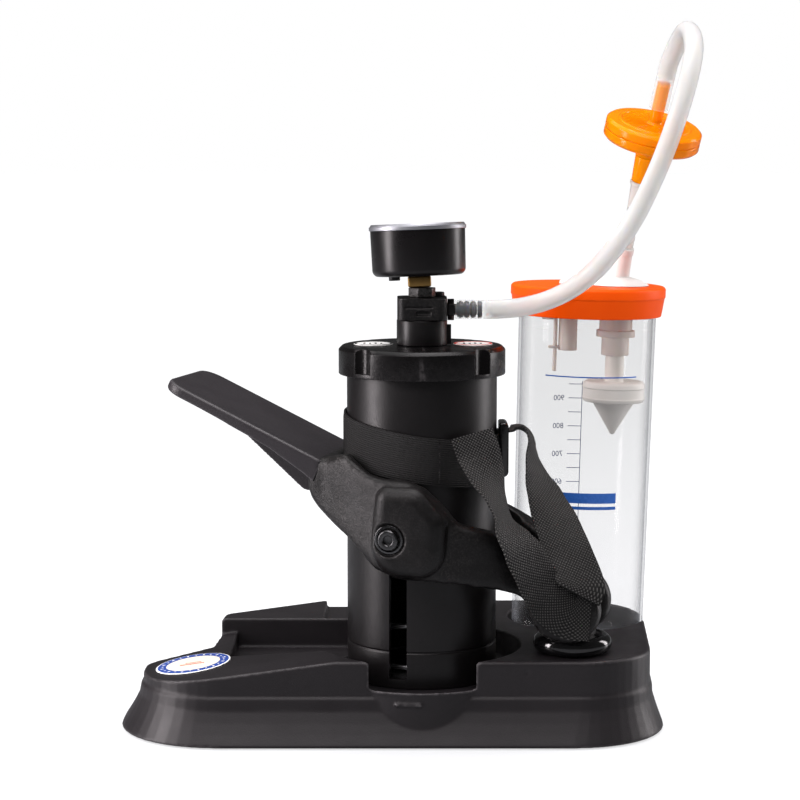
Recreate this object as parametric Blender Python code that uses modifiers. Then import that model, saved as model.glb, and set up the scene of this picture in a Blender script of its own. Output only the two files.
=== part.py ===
"""Foot-operated suction pump.

A black tray base carries an upright piston pump that a pedal lever works, with a vacuum gauge on top,
and a graduated collection jar whose lid carries a bacterial filter. A hose joins the filter to the pump.

Sizes are in millimetres, and become metres where the meshes are made. Positions are measured from the
foot of the pump's axis unless a parent empty says otherwise: +X towards the jar, -Y to the user, +Z up.
"""

import math

import bmesh
import bpy
from mathutils import Matrix, Vector

MM = 0.001
GAP = 0.3

# Where the foot of the pump's axis stands. The whole object's footprint is centred on the world origin.
PUMP_X = 5.2
PUMP_Y = -36.5

# Base tray
DECK_Z = 50.0
FLOOR_Z = 31.0
STEP_Z = 28.0
RIM_Z = 0.8
WALL = 3.0
RECESS_R = 61.0
CUP_R = 60.5
CHANNEL_LEFT = -118.0
RAIL_Y = 68.0
SOCKET = (100.5, 79.0)
SOCKET_R = 44.0
# Corners of the tray in plan: x, y and the radius of the corner, anticlockwise from the front left.
UPPER_CORNERS = (
    (-172, -53, 50),
    (137, -53, 45),
    (147.5, 128, 47),
    (-62, 128, 10),
    (-127, 84, 8),
    (-131, 36, 6),
    (-170, 15, 14),
)
LOWER_CORNERS = (
    (-186, -67, 64),
    (148.5, -67, 60),
    (150, 141, 52),
    (-66, 141, 14),
    (-140, 92, 14),
    (-145, 48, 8),
    (-185, 28, 20),
)
# Rubber feet: x, y and the height of the deck's underside above each.
FEET = ((-150, -8, 33), (100, -42, 48), (-50, 108, 44), (122, 108, 30))
FOOT_R = 8.0
FOOT_H = 5.6

# Pump barrel and cap
BARREL_R = 45.5
BORE_R = 41.0
BARREL_TOP = 228.0
CAP_R = 50.5
CAP_Z = (216.5, 233.5)
CAP_NOTCH_Z = 219.0
TURRET_R = 15.3
BLOCK_Z = (249.3, 262.5)
BLOCK_SIDE = 30.0
HOSE_Z = 255.0

# Lever: the plane it swings in is turned about the pump's axis, the pedal end to the rear left.
LEVER_TURN = math.radians(15)
FULCRUM_REACH = 94.0
FULCRUM_Z = 79.0
PIN_REACH = -3.0
PIN_Z = 125.0
PIN_R = 5.0
PEDAL_SLOPE = math.radians(25)
SLOT_WIDTH = 11.0
SLOT_Z = (37.0, 136.0)
BOSS_FACE = 64.0
CHEEK_GAP = 12.5
CHEEK_FACE = 22.0
HUB_R = 19.0
HOLE_R = 49.0
# How far the lever swings, in steps at which its yoke is cut clear of the barrel.
SWING_STEPS = (10, 20, 29.5)

# Gauge, measured along its own tilted axis from the top of its nut
GAUGE_TILT = math.radians(-2.2)
GAUGE_R = 28.4
GAUGE_H = (8.3, 34.5)

# Jar, measured along its own axis from its foot
JAR_FOOT = (101.3, 79.0, 33.2)
JAR_LEAN = math.radians(1.4)
JAR_R = (42.2, 43.8)
JAR_TOP = 226.0
LID_Z = (212.8, 231.7)
LID_R = (46.8, 49.3)
PORT_X = 18.5
INLET_X = -12.0

# Filter, measured along its own axis from the top of the lid
FILTER_TILT = Vector((0.16, -0.325, 1.0))
FILTER_Z = (96.4, 109.4)
FILTER_R = 30.0
PORT_TIP = 136.0

# Webbing
WEB_WIDTH = 28.0
WEB_THICK = 1.6
BELT_R = 46.2
BELT_FALL = (-0.137, 0.079)
BELT_TOP = 187.0

# Hose
HOSE_R = 5.7
HOSE_START = (33.6, 0, 255)
HOSE_ROUTE = (
    (38, 0, 255),
    (47, -1.8, 255.3),
    (60, -7, 257),
    (74, -16, 261.4),
    (88, -25, 269),
    (101, -32, 280),
    (113, -38, 295),
    (123.5, -42, 312),
    (132, -44.5, 330),
    (139.5, -45.5, 348),
    (146.5, -45, 366),
    (152, -43.5, 383),
    (156, -39.5, 397.5),
    (157.9, -31, 409.3),
    (158.3, -19, 417.6),
    (157.4, -5.2, 421.2),
    (155.6, 9, 420),
    (153.1, 21.9, 413.8),
    (150.3, 31.6, 404.2),
)

BLACK = (0.012, 0.011, 0.011)
SATIN_BLACK = (0.02, 0.019, 0.019)

parts = bpy.data.collections.new("suction_pump")
cutters = bpy.data.collections.new("cutters")


# ---------------------------------------------------------------- helpers


def clear_scene():
    for obj in list(bpy.data.objects):
        bpy.data.objects.remove(obj, do_unlink=True)
    bpy.context.scene.collection.children.link(parts)
    bpy.context.scene.collection.children.link(cutters)
    cutters.hide_render = True


def empty(name, location=(0, 0, 0), rotation=None, parent=None):
    """A frame that pieces are placed in."""
    obj = bpy.data.objects.new(name, None)
    parts.objects.link(obj)
    obj.parent = parent
    obj.location = Vector(location) * MM
    if rotation is not None:
        obj.rotation_euler = rotation.to_euler()
    return obj


def material(name, colour, roughness, metallic=0.0, alpha=1.0):
    found = bpy.data.materials.get(name)
    if found:
        return found
    made = bpy.data.materials.new(name)
    made.use_nodes = True
    shader = made.node_tree.nodes["Principled BSDF"]
    shader.inputs["Base Color"].default_value = (*colour, 1.0)
    shader.inputs["Roughness"].default_value = roughness
    shader.inputs["Metallic"].default_value = metallic
    shader.inputs["Alpha"].default_value = alpha
    return made


FINISHES = {
    "abs": (SATIN_BLACK, 0.5, 0.0, 1.0),
    "barrel": (SATIN_BLACK, 0.38, 0.0, 1.0),
    "cap": (SATIN_BLACK, 0.3, 0.0, 1.0),
    "cast": (BLACK, 0.55, 0.0, 1.0),
    "gloss_rubber": (BLACK, 0.2, 0.0, 1.0),
    "rubber": (BLACK, 0.8, 0.0, 1.0),
    "steel": ((0.55, 0.55, 0.56), 0.3, 1.0, 1.0),
    "dark_steel": ((0.08, 0.08, 0.08), 0.35, 1.0, 1.0),
    "brass": ((0.55, 0.36, 0.15), 0.35, 1.0, 1.0),
    "silver": ((0.75, 0.76, 0.78), 0.25, 1.0, 1.0),
    "clear": ((0.92, 0.95, 0.97), 0.08, 0.0, 0.3),
    "white": ((0.85, 0.84, 0.82), 0.35, 0.0, 1.0),
    "orange": ((0.95, 0.22, 0.03), 0.35, 0.0, 1.0),
    "amber": ((0.95, 0.4, 0.04), 0.25, 0.0, 0.8),
    "webbing": (BLACK, 0.85, 0.0, 1.0),
    "silicone": ((0.85, 0.87, 0.88), 0.35, 0.0, 0.8),
    "paper": ((0.85, 0.83, 0.78), 0.6, 0.0, 1.0),
    "red": ((0.6, 0.03, 0.02), 0.5, 0.0, 1.0),
}


def add(name, mesh, finish, parent, location=(0, 0, 0)):
    """The piece NAME in its frame, with its own material."""
    obj = bpy.data.objects.new(name, mesh)
    parts.objects.link(obj)
    obj.parent = parent
    obj.location = Vector(location) * MM
    obj.data.materials.append(material(f"{finish}_finish", *FINISHES[finish]))
    return obj


def as_tool(name, mesh, parent, location=(0, 0, 0)):
    """A shape that cuts or joins another one, and isn't a piece itself."""
    obj = bpy.data.objects.new(name, mesh)
    cutters.objects.link(obj)
    obj.parent = parent
    obj.location = Vector(location) * MM
    obj.hide_render = True
    obj.display_type = "WIRE"
    return obj


def combine(obj, operation, *tools):
    for tool in tools:
        boolean = obj.modifiers.new(tool.name, "BOOLEAN")
        boolean.operation = operation
        boolean.object = tool


def cut(obj, *tools):
    combine(obj, "DIFFERENCE", *tools)


def join(obj, *tools):
    combine(obj, "UNION", *tools)


def turned(name, profile, segments=32):
    """A mesh turned about Z from (radius, height) points, which run down its outer side.

    A profile that starts on the axis also ends there. Any other one is the section of a ring.
    """
    mesh = bpy.data.meshes.new(name)
    shape = bmesh.new()
    points = [shape.verts.new((r * MM, 0, z * MM)) for r, z in profile]
    for first, second in zip(points, points[1:]):
        shape.edges.new((first, second))
    if profile[0][0] > 0:
        shape.edges.new((points[-1], points[0]))
    shape.to_mesh(mesh)
    shape.free()
    blank = bpy.data.objects.new(name, mesh)
    bpy.context.scene.collection.objects.link(blank)
    screw = blank.modifiers.new("turn", "SCREW")
    screw.steps = segments
    screw.render_steps = segments
    screw.use_merge_vertices = True
    screw.merge_threshold = 0.00001
    bpy.context.view_layer.update()
    made = bpy.data.meshes.new_from_object(blank.evaluated_get(bpy.context.evaluated_depsgraph_get()))
    bpy.data.objects.remove(blank)
    return made


def disc(name, radius, low, high, segments=32):
    return turned(name, ((0, high), (radius, high), (radius, low), (0, low)), segments)


def ring(name, inner, outer, low, high, segments=32):
    return turned(name, ((outer, high), (outer, low), (inner, low), (inner, high)), segments)


def turn_mesh(mesh, matrix):
    mesh.transform(matrix)
    return mesh


def along_y(mesh):
    """The mesh turned so that its +Z runs along +Y."""
    return turn_mesh(mesh, Matrix.Rotation(math.radians(-90), 4, "X"))


def along_x(mesh):
    """The mesh turned so that its +Z runs along +X."""
    return turn_mesh(mesh, Matrix.Rotation(math.radians(90), 4, "Y"))


def box(name, low, high):
    """A block between two corners."""
    mesh = bpy.data.meshes.new(name)
    shape = bmesh.new()
    size = [(b - a) * MM for a, b in zip(low, high)]
    middle = [(a + b) / 2 * MM for a, b in zip(low, high)]
    bmesh.ops.create_cube(shape, size=1.0, matrix=Matrix.Translation(middle) @ Matrix.Diagonal((*size, 1)))
    shape.to_mesh(mesh)
    shape.free()
    return mesh


def loft(name, rings):
    """A closed mesh through rings of equal point counts, each anticlockwise seen from the last ring's side."""
    mesh = bpy.data.meshes.new(name)
    shape = bmesh.new()
    rows = [[shape.verts.new(Vector(point) * MM) for point in points] for points in rings]
    count = len(rows[0])
    shape.faces.new(reversed(rows[0]))
    shape.faces.new(rows[-1])
    for low, high in zip(rows, rows[1:]):
        for i in range(count):
            j = (i + 1) % count
            shape.faces.new((low[i], low[j], high[j], high[i]))
    shape.to_mesh(mesh)
    shape.free()
    return mesh


def prism(name, outline, low, high):
    """An outline in plan, anticlockwise, from height LOW to HIGH."""
    return loft(name, [[(x, y, z) for x, y in outline] for z in (low, high)])


def side_prism(name, outline, half_width):
    """An outline of (x, z) points, anticlockwise seen from -Y, as wide as it says either side of Y = 0."""
    return loft(name, [[(x, y, z) for x, z in outline] for y in (half_width, -half_width)])


def arc(centre, radius, start, end, steps):
    """Points along an arc, its angles in degrees."""
    angles = [math.radians(start + (end - start) * i / steps) for i in range(steps + 1)]
    return [(centre[0] + radius * math.cos(a), centre[1] + radius * math.sin(a)) for a in angles]


def rounded(corners, inset=0.0, steps=6):
    """The outline of a polygon whose corners are (x, y, radius), anticlockwise, moved inwards by INSET."""
    points = []
    for i, (x, y, radius) in enumerate(corners):
        corner = Vector((x, y))
        before = (corner - Vector(corners[i - 1][:2])).normalized()
        after = (Vector(corners[(i + 1) % len(corners)][:2]) - corner).normalized()
        turn = math.atan2(before.x * after.y - before.y * after.x, before.dot(after))
        signed = math.copysign(radius, turn)
        tangent = corner - before * radius * abs(math.tan(turn / 2))
        centre = tangent + Vector((-before.y, before.x)) * signed
        heading = math.atan2(before.y, before.x)
        for step in range(steps + 1):
            angle = heading + turn * step / steps
            inward = Vector((-math.sin(angle), math.cos(angle)))
            points.append(tuple(centre - inward * (signed - inset)))
    return points


def smooth_route(points, spacing):
    """Points a given distance apart on a smooth curve through a route's own points."""
    stops = [Vector(p) for p in points]
    ends = [2 * stops[0] - stops[1]] + stops + [2 * stops[-1] - stops[-2]]
    fine = []
    for i in range(1, len(ends) - 2):
        a, b, c, d = ends[i - 1 : i + 3]
        for step in range(20):
            t = step / 20
            fine.append(
                0.5 * ((2 * b) + (c - a) * t + (2 * a - 5 * b + 4 * c - d) * t**2 + (3 * b - a - 3 * c + d) * t**3)
            )
    fine.append(stops[-1])
    length = sum((q - p).length for p, q in zip(fine, fine[1:]))
    count = round(length / spacing)
    route = [fine[0]]
    walked = 0.0
    for p, q in zip(fine, fine[1:]):
        walked += (q - p).length
        if walked >= length * len(route) / count and len(route) < count:
            route.append(q)
    route.append(fine[-1])
    return route


def tube(name, points, radius, resolution=2):
    """A round bar or hose along points, as a mesh."""
    curve = bpy.data.curves.new(name, "CURVE")
    curve.dimensions = "3D"
    curve.bevel_depth = radius * MM
    curve.bevel_resolution = resolution
    curve.use_fill_caps = True
    spline = curve.splines.new("POLY")
    spline.points.add(len(points) - 1)
    for target, point in zip(spline.points, points):
        target.co = (*(Vector(point) * MM), 1)
    blank = bpy.data.objects.new(name, curve)
    bpy.context.scene.collection.objects.link(blank)
    bpy.context.view_layer.update()
    mesh = bpy.data.meshes.new_from_object(blank.evaluated_get(bpy.context.evaluated_depsgraph_get()))
    bpy.data.objects.remove(blank)
    shape = bmesh.new()
    shape.from_mesh(mesh)
    bmesh.ops.remove_doubles(shape, verts=shape.verts, dist=0.000001)
    shape.to_mesh(mesh)
    shape.free()
    return mesh


def ribbon(name, stations):
    """A strap of webbing through stations of (centre, direction of its width)."""
    centres = [Vector(centre) for centre, _ in stations]
    rings = []
    for i, (centre, across) in enumerate(stations):
        ahead = centres[min(i + 1, len(centres) - 1)] - centres[max(i - 1, 0)]
        across = Vector(across).normalized() * WEB_WIDTH / 2
        through = ahead.cross(across).normalized() * WEB_THICK / 2
        middle = Vector(centre)
        rings.append(
            [
                middle - across - through,
                middle + across - through,
                middle + across + through,
                middle - across + through,
            ]
        )
    return loft(name, rings)


# ---------------------------------------------------------------- base tray


def tray_ring(z, inset):
    """The tray's outline at a height: the skirt flares out below the step, a little hollow in section."""
    upper = rounded(UPPER_CORNERS, inset)
    if z >= STEP_Z:
        return [(x, y, z) for x, y in upper]
    lower = rounded(LOWER_CORNERS, inset)
    flare = ((STEP_Z - z) / STEP_Z) ** 1.25
    return [
        (ux + (lx - ux) * flare, uy + (ly - uy) * flare, z) for (ux, uy), (lx, ly) in zip(upper, lower)
    ]


def deck_hollow(pump):
    """The space under the deck, above the height where the skirt's own hollow ends."""
    space = as_tool("deck_hollow", prism("deck_hollow", rounded(UPPER_CORNERS, 3.4), 24, DECK_Z - WALL), pump)
    channel = ((CHANNEL_LEFT - 3, -0.6), (-30, -31), (-30, RAIL_Y + 3), (CHANNEL_LEFT - 3, RAIL_Y + 3))
    nose = ((-220, 31), (-166, 31), (-44, 48), (-44, 70), (-220, 70))
    keeps = (
        as_tool("keep_recess", disc("keep_recess", RECESS_R + WALL, -10, 80, 48), pump),
        as_tool("keep_socket", disc("keep_socket", SOCKET_R + WALL, -10, 80, 48), pump, (*SOCKET, 0)),
        as_tool("keep_channel", prism("keep_channel", channel, 0, 80), pump),
        as_tool("keep_nose", loft("keep_nose", [[(x, y, z) for x, z in nose] for y in (71, -90)]), pump),
        as_tool("keep_rail", box("keep_rail", (-65, RAIL_Y - 3, 42.5), (-17, 150, 80)), pump),
        as_tool("keep_post", disc("keep_post", 12, -10, 80, 24), pump, (*post_place(), 0)),
    )
    cut(space, *keeps)
    return space


def post_place():
    """Where the fulcrum post stands in plan."""
    return (FULCRUM_REACH * math.cos(LEVER_TURN), -FULCRUM_REACH * math.sin(LEVER_TURN))


def screw_places():
    """Where the three screws that hold the barrel go up through the tray's floor."""
    return [(30 * math.cos(math.radians(a)), 30 * math.sin(math.radians(a))) for a in (90, 210, 330)]


def make_base(pump):
    heights = ((RIM_Z, 0.8), (1.8, 0), (8, 0), (14, 0), (21, 0), (STEP_Z - 0.01, -1.2), (STEP_Z + 0.8, 0))
    rings = [tray_ring(z, inset) for z, inset in heights]
    rings += [tray_ring(DECK_Z - 1.2, 0), tray_ring(DECK_Z, 1.2)]
    base = add("base_shell", loft("base_shell", rings), "abs", pump)

    nose = ((-220, 34), (-166, 34), (-44, 51), (-44, 70), (-220, 70))
    channel = ((CHANNEL_LEFT, 2.4), (-30, -28), (-30, RAIL_Y), (CHANNEL_LEFT, RAIL_Y))
    inner = [tray_ring(z, WALL) for z in (-5, 8, 14, 21)] + [[(x, y, STEP_Z) for x, y in rounded(UPPER_CORNERS, WALL)]]
    join(base, as_tool("front_cup", disc("front_cup", CUP_R, 4, FLOOR_Z + 2, 48), pump))
    cut(
        base,
        as_tool("nose_ramp", loft("nose_ramp", [[(x, y, z) for x, z in nose] for y in (RAIL_Y, -90)]), pump),
        as_tool("channel", prism("channel", channel, FLOOR_Z, 80), pump),
        as_tool("rail_step", box("rail_step", (-62, RAIL_Y + 2, 45.5), (-20, 150, 80)), pump),
        as_tool("recess", disc("recess", RECESS_R, FLOOR_Z, 80, 48), pump),
        as_tool("socket", disc("socket", SOCKET_R, FLOOR_Z + 0.5, 80, 48), pump, (*SOCKET, 0)),
        as_tool("dimple", along_y(disc("dimple", 3, -2, 0.8, 16)), pump, (62, -53, 43.5)),
        as_tool("hollow", loft("hollow", inner), pump),
        deck_hollow(pump),
        as_tool("post_hole", disc("post_hole", 8, 20, 80, 24), pump, (*post_place(), 0)),
    )
    for i, (x, y) in enumerate(screw_places()):
        cut(base, as_tool(f"floor_hole_{i}", disc(f"floor_hole_{i}", 2.4, 20, 40, 12), pump, (x, y, 0)))
    for i, (x, y, roof) in enumerate(FEET):
        height = (FOOT_H + RIM_Z, roof)
        join(base, as_tool(f"foot_boss_{i}", disc(f"foot_boss_{i}", FOOT_R, *height, 16), pump, (x, y, 0)))
        profile = ((0, FOOT_H), (FOOT_R, FOOT_H), (FOOT_R, 1), (FOOT_R - 1, 0), (0, 0))
        add(f"rubber_foot_{i + 1}", turned("foot", profile, 16), "rubber", pump, (x, y, 0))


# ---------------------------------------------------------------- pump


def in_lever_plane(mesh):
    """A mesh made in the lever's own directions, turned to them."""
    return turn_mesh(mesh, Matrix.Rotation(-LEVER_TURN, 4, "Z"))


def make_barrel(pump):
    low = FLOOR_Z + GAP
    inside = low + 3.5
    profile = (
        (0, inside),
        (BORE_R, inside),
        (BORE_R, BARREL_TOP),
        (BARREL_R, BARREL_TOP),
        (BARREL_R, low),
        (0, low),
    )
    barrel = add("pump_barrel", turned("pump_barrel", profile, 48), "barrel", pump)
    half = SLOT_WIDTH / 2
    slot = box("slot", (PIN_REACH - half, -60, SLOT_Z[0]), (PIN_REACH + half, 60, SLOT_Z[1]))
    cut(barrel, as_tool("slot", in_lever_plane(slot), pump))
    for i, (x, y) in enumerate(screw_places()):
        cut(barrel, as_tool(f"thread_{i}", disc(f"thread_{i}", 2.2, 20, 40, 12), pump, (x, y, 0)))
        profile = ((0, 34.3), (1.9, 34.3), (1.9, 27.6), (4, 27.6), (4, 24.8), (0, 24.8))
        add(f"barrel_screw_{i + 1}", turned("barrel_screw", profile, 12), "steel", pump, (x, y, 0))


def make_cap(pump):
    low, high = CAP_Z
    profile = (
        (8.3, high),
        (CAP_R - 1.5, high),
        (CAP_R, high - 1.5),
        (CAP_R, low),
        (BARREL_R + 0.5, low),
        (BARREL_R + 0.5, BARREL_TOP + 1.4),
        (8.3, BARREL_TOP + 1.4),
    )
    cap = add("pump_cap", turned("pump_cap", profile, 48), "cap", pump)
    for i in range(4):
        angle = math.radians(45 + 90 * i)
        place = ((CAP_R + 5) * math.cos(angle), (CAP_R + 5) * math.sin(angle), 0)
        cut(cap, as_tool(f"cap_notch_{i}", disc(f"cap_notch_{i}", 8.5, CAP_NOTCH_Z, 240, 16), pump, place))
    gasket = ring("cap_gasket", BORE_R, BARREL_R, BARREL_TOP + GAP, BARREL_TOP + 1.1, 48)
    add("cap_gasket", gasket, "rubber", pump)
    label = disc("cap_label", 9.5, 0, 0.4, 24)
    for name, x, finish in (("cap_label_left", -31, "paper"), ("cap_label_right", 31, "red")):
        add(name, label.copy(), finish, pump, (x, 5, high + 0.15))


def make_valves(pump):
    low = CAP_Z[1] + GAP
    high = BLOCK_Z[0] - GAP
    ledge = high - 2.5
    profile = ((TURRET_R, high), (TURRET_R, low), (8, low), (8, 224), (2.5, 224))
    profile += ((2.5, ledge), (6.5, ledge), (6.5, high))
    turret = add("valve_turret", turned("valve_turret", profile), "barrel", pump)
    # Air passes round the disc and through this slot when the disc lies on its ledge.
    cut(turret, as_tool("valve_slot", box("valve_slot", (-6.3, -1.2, ledge - 3), (6.3, 1.2, ledge + 1)), pump))
    add("inlet_valve_disc", disc("inlet_valve_disc", 6, ledge + GAP, ledge + 1.4, 20), "rubber", pump)

    half = BLOCK_SIDE / 2
    corners = [(sx * half, sy * half, 6) for sx, sy in ((-1, -1), (1, -1), (1, 1), (-1, 1))]
    block = add("manifold_block", prism("manifold_block", rounded(corners, 0, 3), *BLOCK_Z), "cast", pump)
    cut(
        block,
        as_tool("block_bore", disc("block_bore", 4.7, 240, 270, 20), pump),
        as_tool("block_side_bore", along_x(disc("block_side_bore", 4.3, 8, 20, 20)), pump, (0, 0, HOSE_Z)),
        as_tool("block_side_way", along_x(disc("block_side_way", 2.5, 0, 10, 12)), pump, (0, 0, HOSE_Z)),
        as_tool("block_port", box("block_port", (-6, -17, 253.5), (6, -half + 2, 257.5)), pump),
    )
    make_barb(pump)
    profile = ((0, 268.3), (7.6, 268.3), (7.6, 262.8), (4.3, 262.8), (4.3, 258.5), (0, 258.5))
    add("gauge_nut", turned("gauge_nut", profile, 24), "abs", pump)


def make_barb(pump):
    """The hose barb, made standing and then laid along +X."""
    profile = [(1.6, 33.2), (3.2, 33.2)]
    for root in (29, 25, 21):
        profile += [(4.6, root + 0.4), (3.4, root)]
    profile += [(3.4, 19.4), (6.6, 19.4), (6.6, 15.3), (4.0, 15.3), (4.0, 8.6), (1.6, 8.6)]
    add("hose_barb", along_x(turned("hose_barb", profile, 20)), "cast", pump, (0, 0, HOSE_Z))


def make_piston(pump):
    head = (
        (0, 208),
        (40, 208),
        (40, 205.3),
        (36.7, 205.3),
        (36.7, 198.7),
        (40, 198.7),
        (40, 196),
        (0, 196),
    )
    piston = add("piston_head", turned("piston_head", head, 48), "abs", pump)
    for i in range(4):
        angle = math.radians(90 * i)
        place = (13 * math.cos(angle), 13 * math.sin(angle), 0)
        cut(piston, as_tool(f"piston_port_{i}", disc(f"piston_port_{i}", 2.5, 190, 215, 12), pump, place))
    add("piston_seal", ring("piston_seal", 37, 40.8, 199, 205, 48), "rubber", pump)
    add("piston_valve_ring", ring("piston_valve_ring", 7.6, 18, 194.2, 195.7, 24), "rubber", pump)
    add("piston_rod", disc("piston_rod", 7, 136.3, 195.7, 20), "steel", pump)
    crosshead = add("crosshead", disc("crosshead", 39, 114, 136, 32), "abs", pump)
    bore = along_y(disc("crosshead_bore", PIN_R + GAP, -60, 60, 20))
    pin = along_y(disc("crosshead_pin", PIN_R, -56, 56, 20))
    place = Matrix.Translation(Vector((PIN_REACH, 0, PIN_Z)) * MM)
    cut(crosshead, as_tool("crosshead_bore", in_lever_plane(turn_mesh(bore, place)), pump))
    add("crosshead_pin", in_lever_plane(turn_mesh(pin, place)), "steel", pump)


def spring_points():
    """The spring's centreline: a dead coil at each end, and open coils between."""
    radius, wire, low, high = 30.0, 3.2, 38.9, 112.1
    dead = 0.75
    live = 2.15
    points = []
    steps = 18
    total = round((2 * dead + live) * steps)
    for i in range(total + 1):
        turns = i / steps
        lower = min(turns, dead) * wire * 1.1
        upper = max(turns - dead - live, 0) * wire * 1.1
        run = min(max((turns - dead) / live, 0), 1) * (high - low - 2 * dead * wire * 1.1)
        angle = 2 * math.pi * turns + math.radians(60)
        points.append((radius * math.cos(angle), radius * math.sin(angle), low + lower + run + upper))
    return points


def make_spring(pump):
    add("spring_seat", ring("spring_seat", 26, 35, 35.1, 37, 24), "steel", pump)
    add("return_spring", tube("return_spring", spring_points(), 1.6), "steel", pump)


# ---------------------------------------------------------------- lever


def from_fulcrum(reach, height):
    """A point given by its reach along the lever from the pump's axis and its height, from the fulcrum."""
    return (reach - FULCRUM_REACH, height - FULCRUM_Z)


def pedal_top(reach):
    """The height of the pedal's top at a reach along the lever."""
    return 161.5 + (-43.8 - reach) * math.tan(PEDAL_SLOPE)


def yoke_side():
    """The yoke's outline from the side, anticlockwise seen from the front."""
    lower = [(-62, 151), (-54, 145), (-46, 138.5), (-30, 129.5), (-23, 118), (-13, 107)]
    lower += [(3, 102), (20, 103), (37, 99.7), (58, 95.5), (70, 90)]
    points = [from_fulcrum(*p) for p in lower]
    points += arc((0, 0), HUB_R, 190, 430, 14)
    upper = [(86, 103.5), (72, 115), (58, 122.5), (42, 128.5), (31, 132), (22, 143)]
    upper += [(8, 155.5), (-12, 156), (-30, 164), (-47, 163 - 3), (-62, pedal_top(-62) - 6.4)]
    return points + [from_fulcrum(*p) for p in upper]


def yoke_plan():
    """The yoke's outline in plan, round the barrel and on both sides of the post."""
    front = [(-62, -34), (-48, -37), (-31, -52), (-14, -61), (4, BOSS_FACE * -1), (20, BOSS_FACE * -1)]
    front += [(38, -58), (58, -45), (76, -29), (92, -CHEEK_FACE), (116, -CHEEK_FACE)]
    inner = [(116, -CHEEK_GAP), (75, -CHEEK_GAP), (64, -20)]
    inner += [(10 + HOLE_R * math.cos(a), -HOLE_R * math.sin(a)) for a in (math.radians(d) for d in (38, 56, 74, 90))]
    inner += [(-HOLE_R * math.sin(a), -HOLE_R * math.cos(a)) for a in (math.radians(d) for d in range(0, 90, 15))]
    half = front + inner
    # The rear half is the front one mirrored, walked back from the pedal side.
    outline = half + [(-HOLE_R, 0)] + [(x, -y) for x, y in reversed(half)]
    return [(x - FULCRUM_REACH, y) for x, y in outline]


def make_yoke(lever):
    yoke = add("lever_yoke", side_prism("lever_yoke", yoke_side(), 70), "cast", lever)
    plan = as_tool("yoke_plan", prism("yoke_plan", yoke_plan(), -60, 120), lever)
    combine(yoke, "INTERSECT", plan)
    x, z = from_fulcrum(PIN_REACH, PIN_Z)
    slide = math.atan2(-z, -x)
    reach = 10.6
    radius = PIN_R + 1.8
    outline = arc((reach, 0), radius, -90, 90, 8) + arc((-0.6, 0), radius, 90, 270, 8)
    for side in (-1, 1):
        pocket = loft("pin_pocket", [[(u, v, w) for u, w in outline] for v in (58, 40)])
        pocket.transform(Matrix.Rotation(-slide, 4, "Y"))
        pocket.transform(Matrix.Translation(Vector((x, 0, z)) * MM))
        if side < 0:
            pocket.transform(Matrix.Diagonal((1, -1, 1, 1)))
            pocket.flip_normals()
        cut(yoke, as_tool(f"pin_pocket_{side}", pocket, lever))
    for i, degrees in enumerate(SWING_STEPS):
        swept = disc(f"barrel_swept_{i}", BARREL_R + 1.5, -160, 260, 48)
        swept.transform(Matrix.Translation(Vector((-FULCRUM_REACH, 0, -FULCRUM_Z)) * MM))
        swept.transform(Matrix.Rotation(math.radians(degrees), 4, "Y"))
        cut(yoke, as_tool(f"barrel_swept_{i}", swept, lever))
    cut(
        yoke,
        as_tool("bolt_way", along_y(disc("bolt_way", 3.2, -80, 80, 16)), lever, (x, 0, z)),
        as_tool("hub_bore", along_y(disc("hub_bore", 4.3, -40, 40, 20)), lever),
    )
    for name, side in (("pivot_bolt_front", -1), ("pivot_bolt_rear", 1)):
        bolt = turned(
            name,
            ((0, 65.2), (2.6, 65.2), (2.6, 67.6), (6, 67.6), (6, 64.3), (2.8, 64.3), (2.8, 59), (0, 59)),
            20,
        )
        turn = Matrix.Rotation(math.radians(-90 * side), 4, "X")
        add(name, turn_mesh(bolt, turn), "dark_steel", lever, (x, 0, z))


def make_pedal(lever):
    """The pedal is made flat, its top at Z = 0 and its inner end at X = 0, then laid on the slope."""
    inner = -56.0
    length = 104.0
    half = 35.0
    outline = rounded(((-length, -half, 9), (0, -half, 1), (0, half, 1), (-length, half, 9)), 0, 4)
    trim = rounded(((-length, -half, 9), (0, -half, 1), (0, half, 1), (-length, half, 9)), 1, 4)
    rings = [[(x, y, -5) for x, y in trim], [(x, y, -4.2) for x, y in outline]]
    rings += [[(x, y, -0.8) for x, y in outline], [(x, y, 0) for x, y in trim]]
    x, z = from_fulcrum(inner, pedal_top(inner))
    slope = empty("pedal_slope", (x, 0, z), Matrix.Rotation(PEDAL_SLOPE, 4, "Y"), lever)
    pedal = add("pedal_plate", loft("pedal_plate", rings), "abs", slope)
    rib = ((-70, -4), (-9, -17), (-9, -4))
    flange = ((-98, -4), (-9, -9), (-9, -4))
    join(pedal, as_tool("pedal_rib", side_prism("pedal_rib", rib, 4), slope))
    for i, y in enumerate((-half + 1.6, half - 1.6)):
        join(pedal, as_tool(f"pedal_flange_{i}", side_prism(f"pedal_flange_{i}", flange, 1.5), slope, (0, y, 0)))


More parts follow.
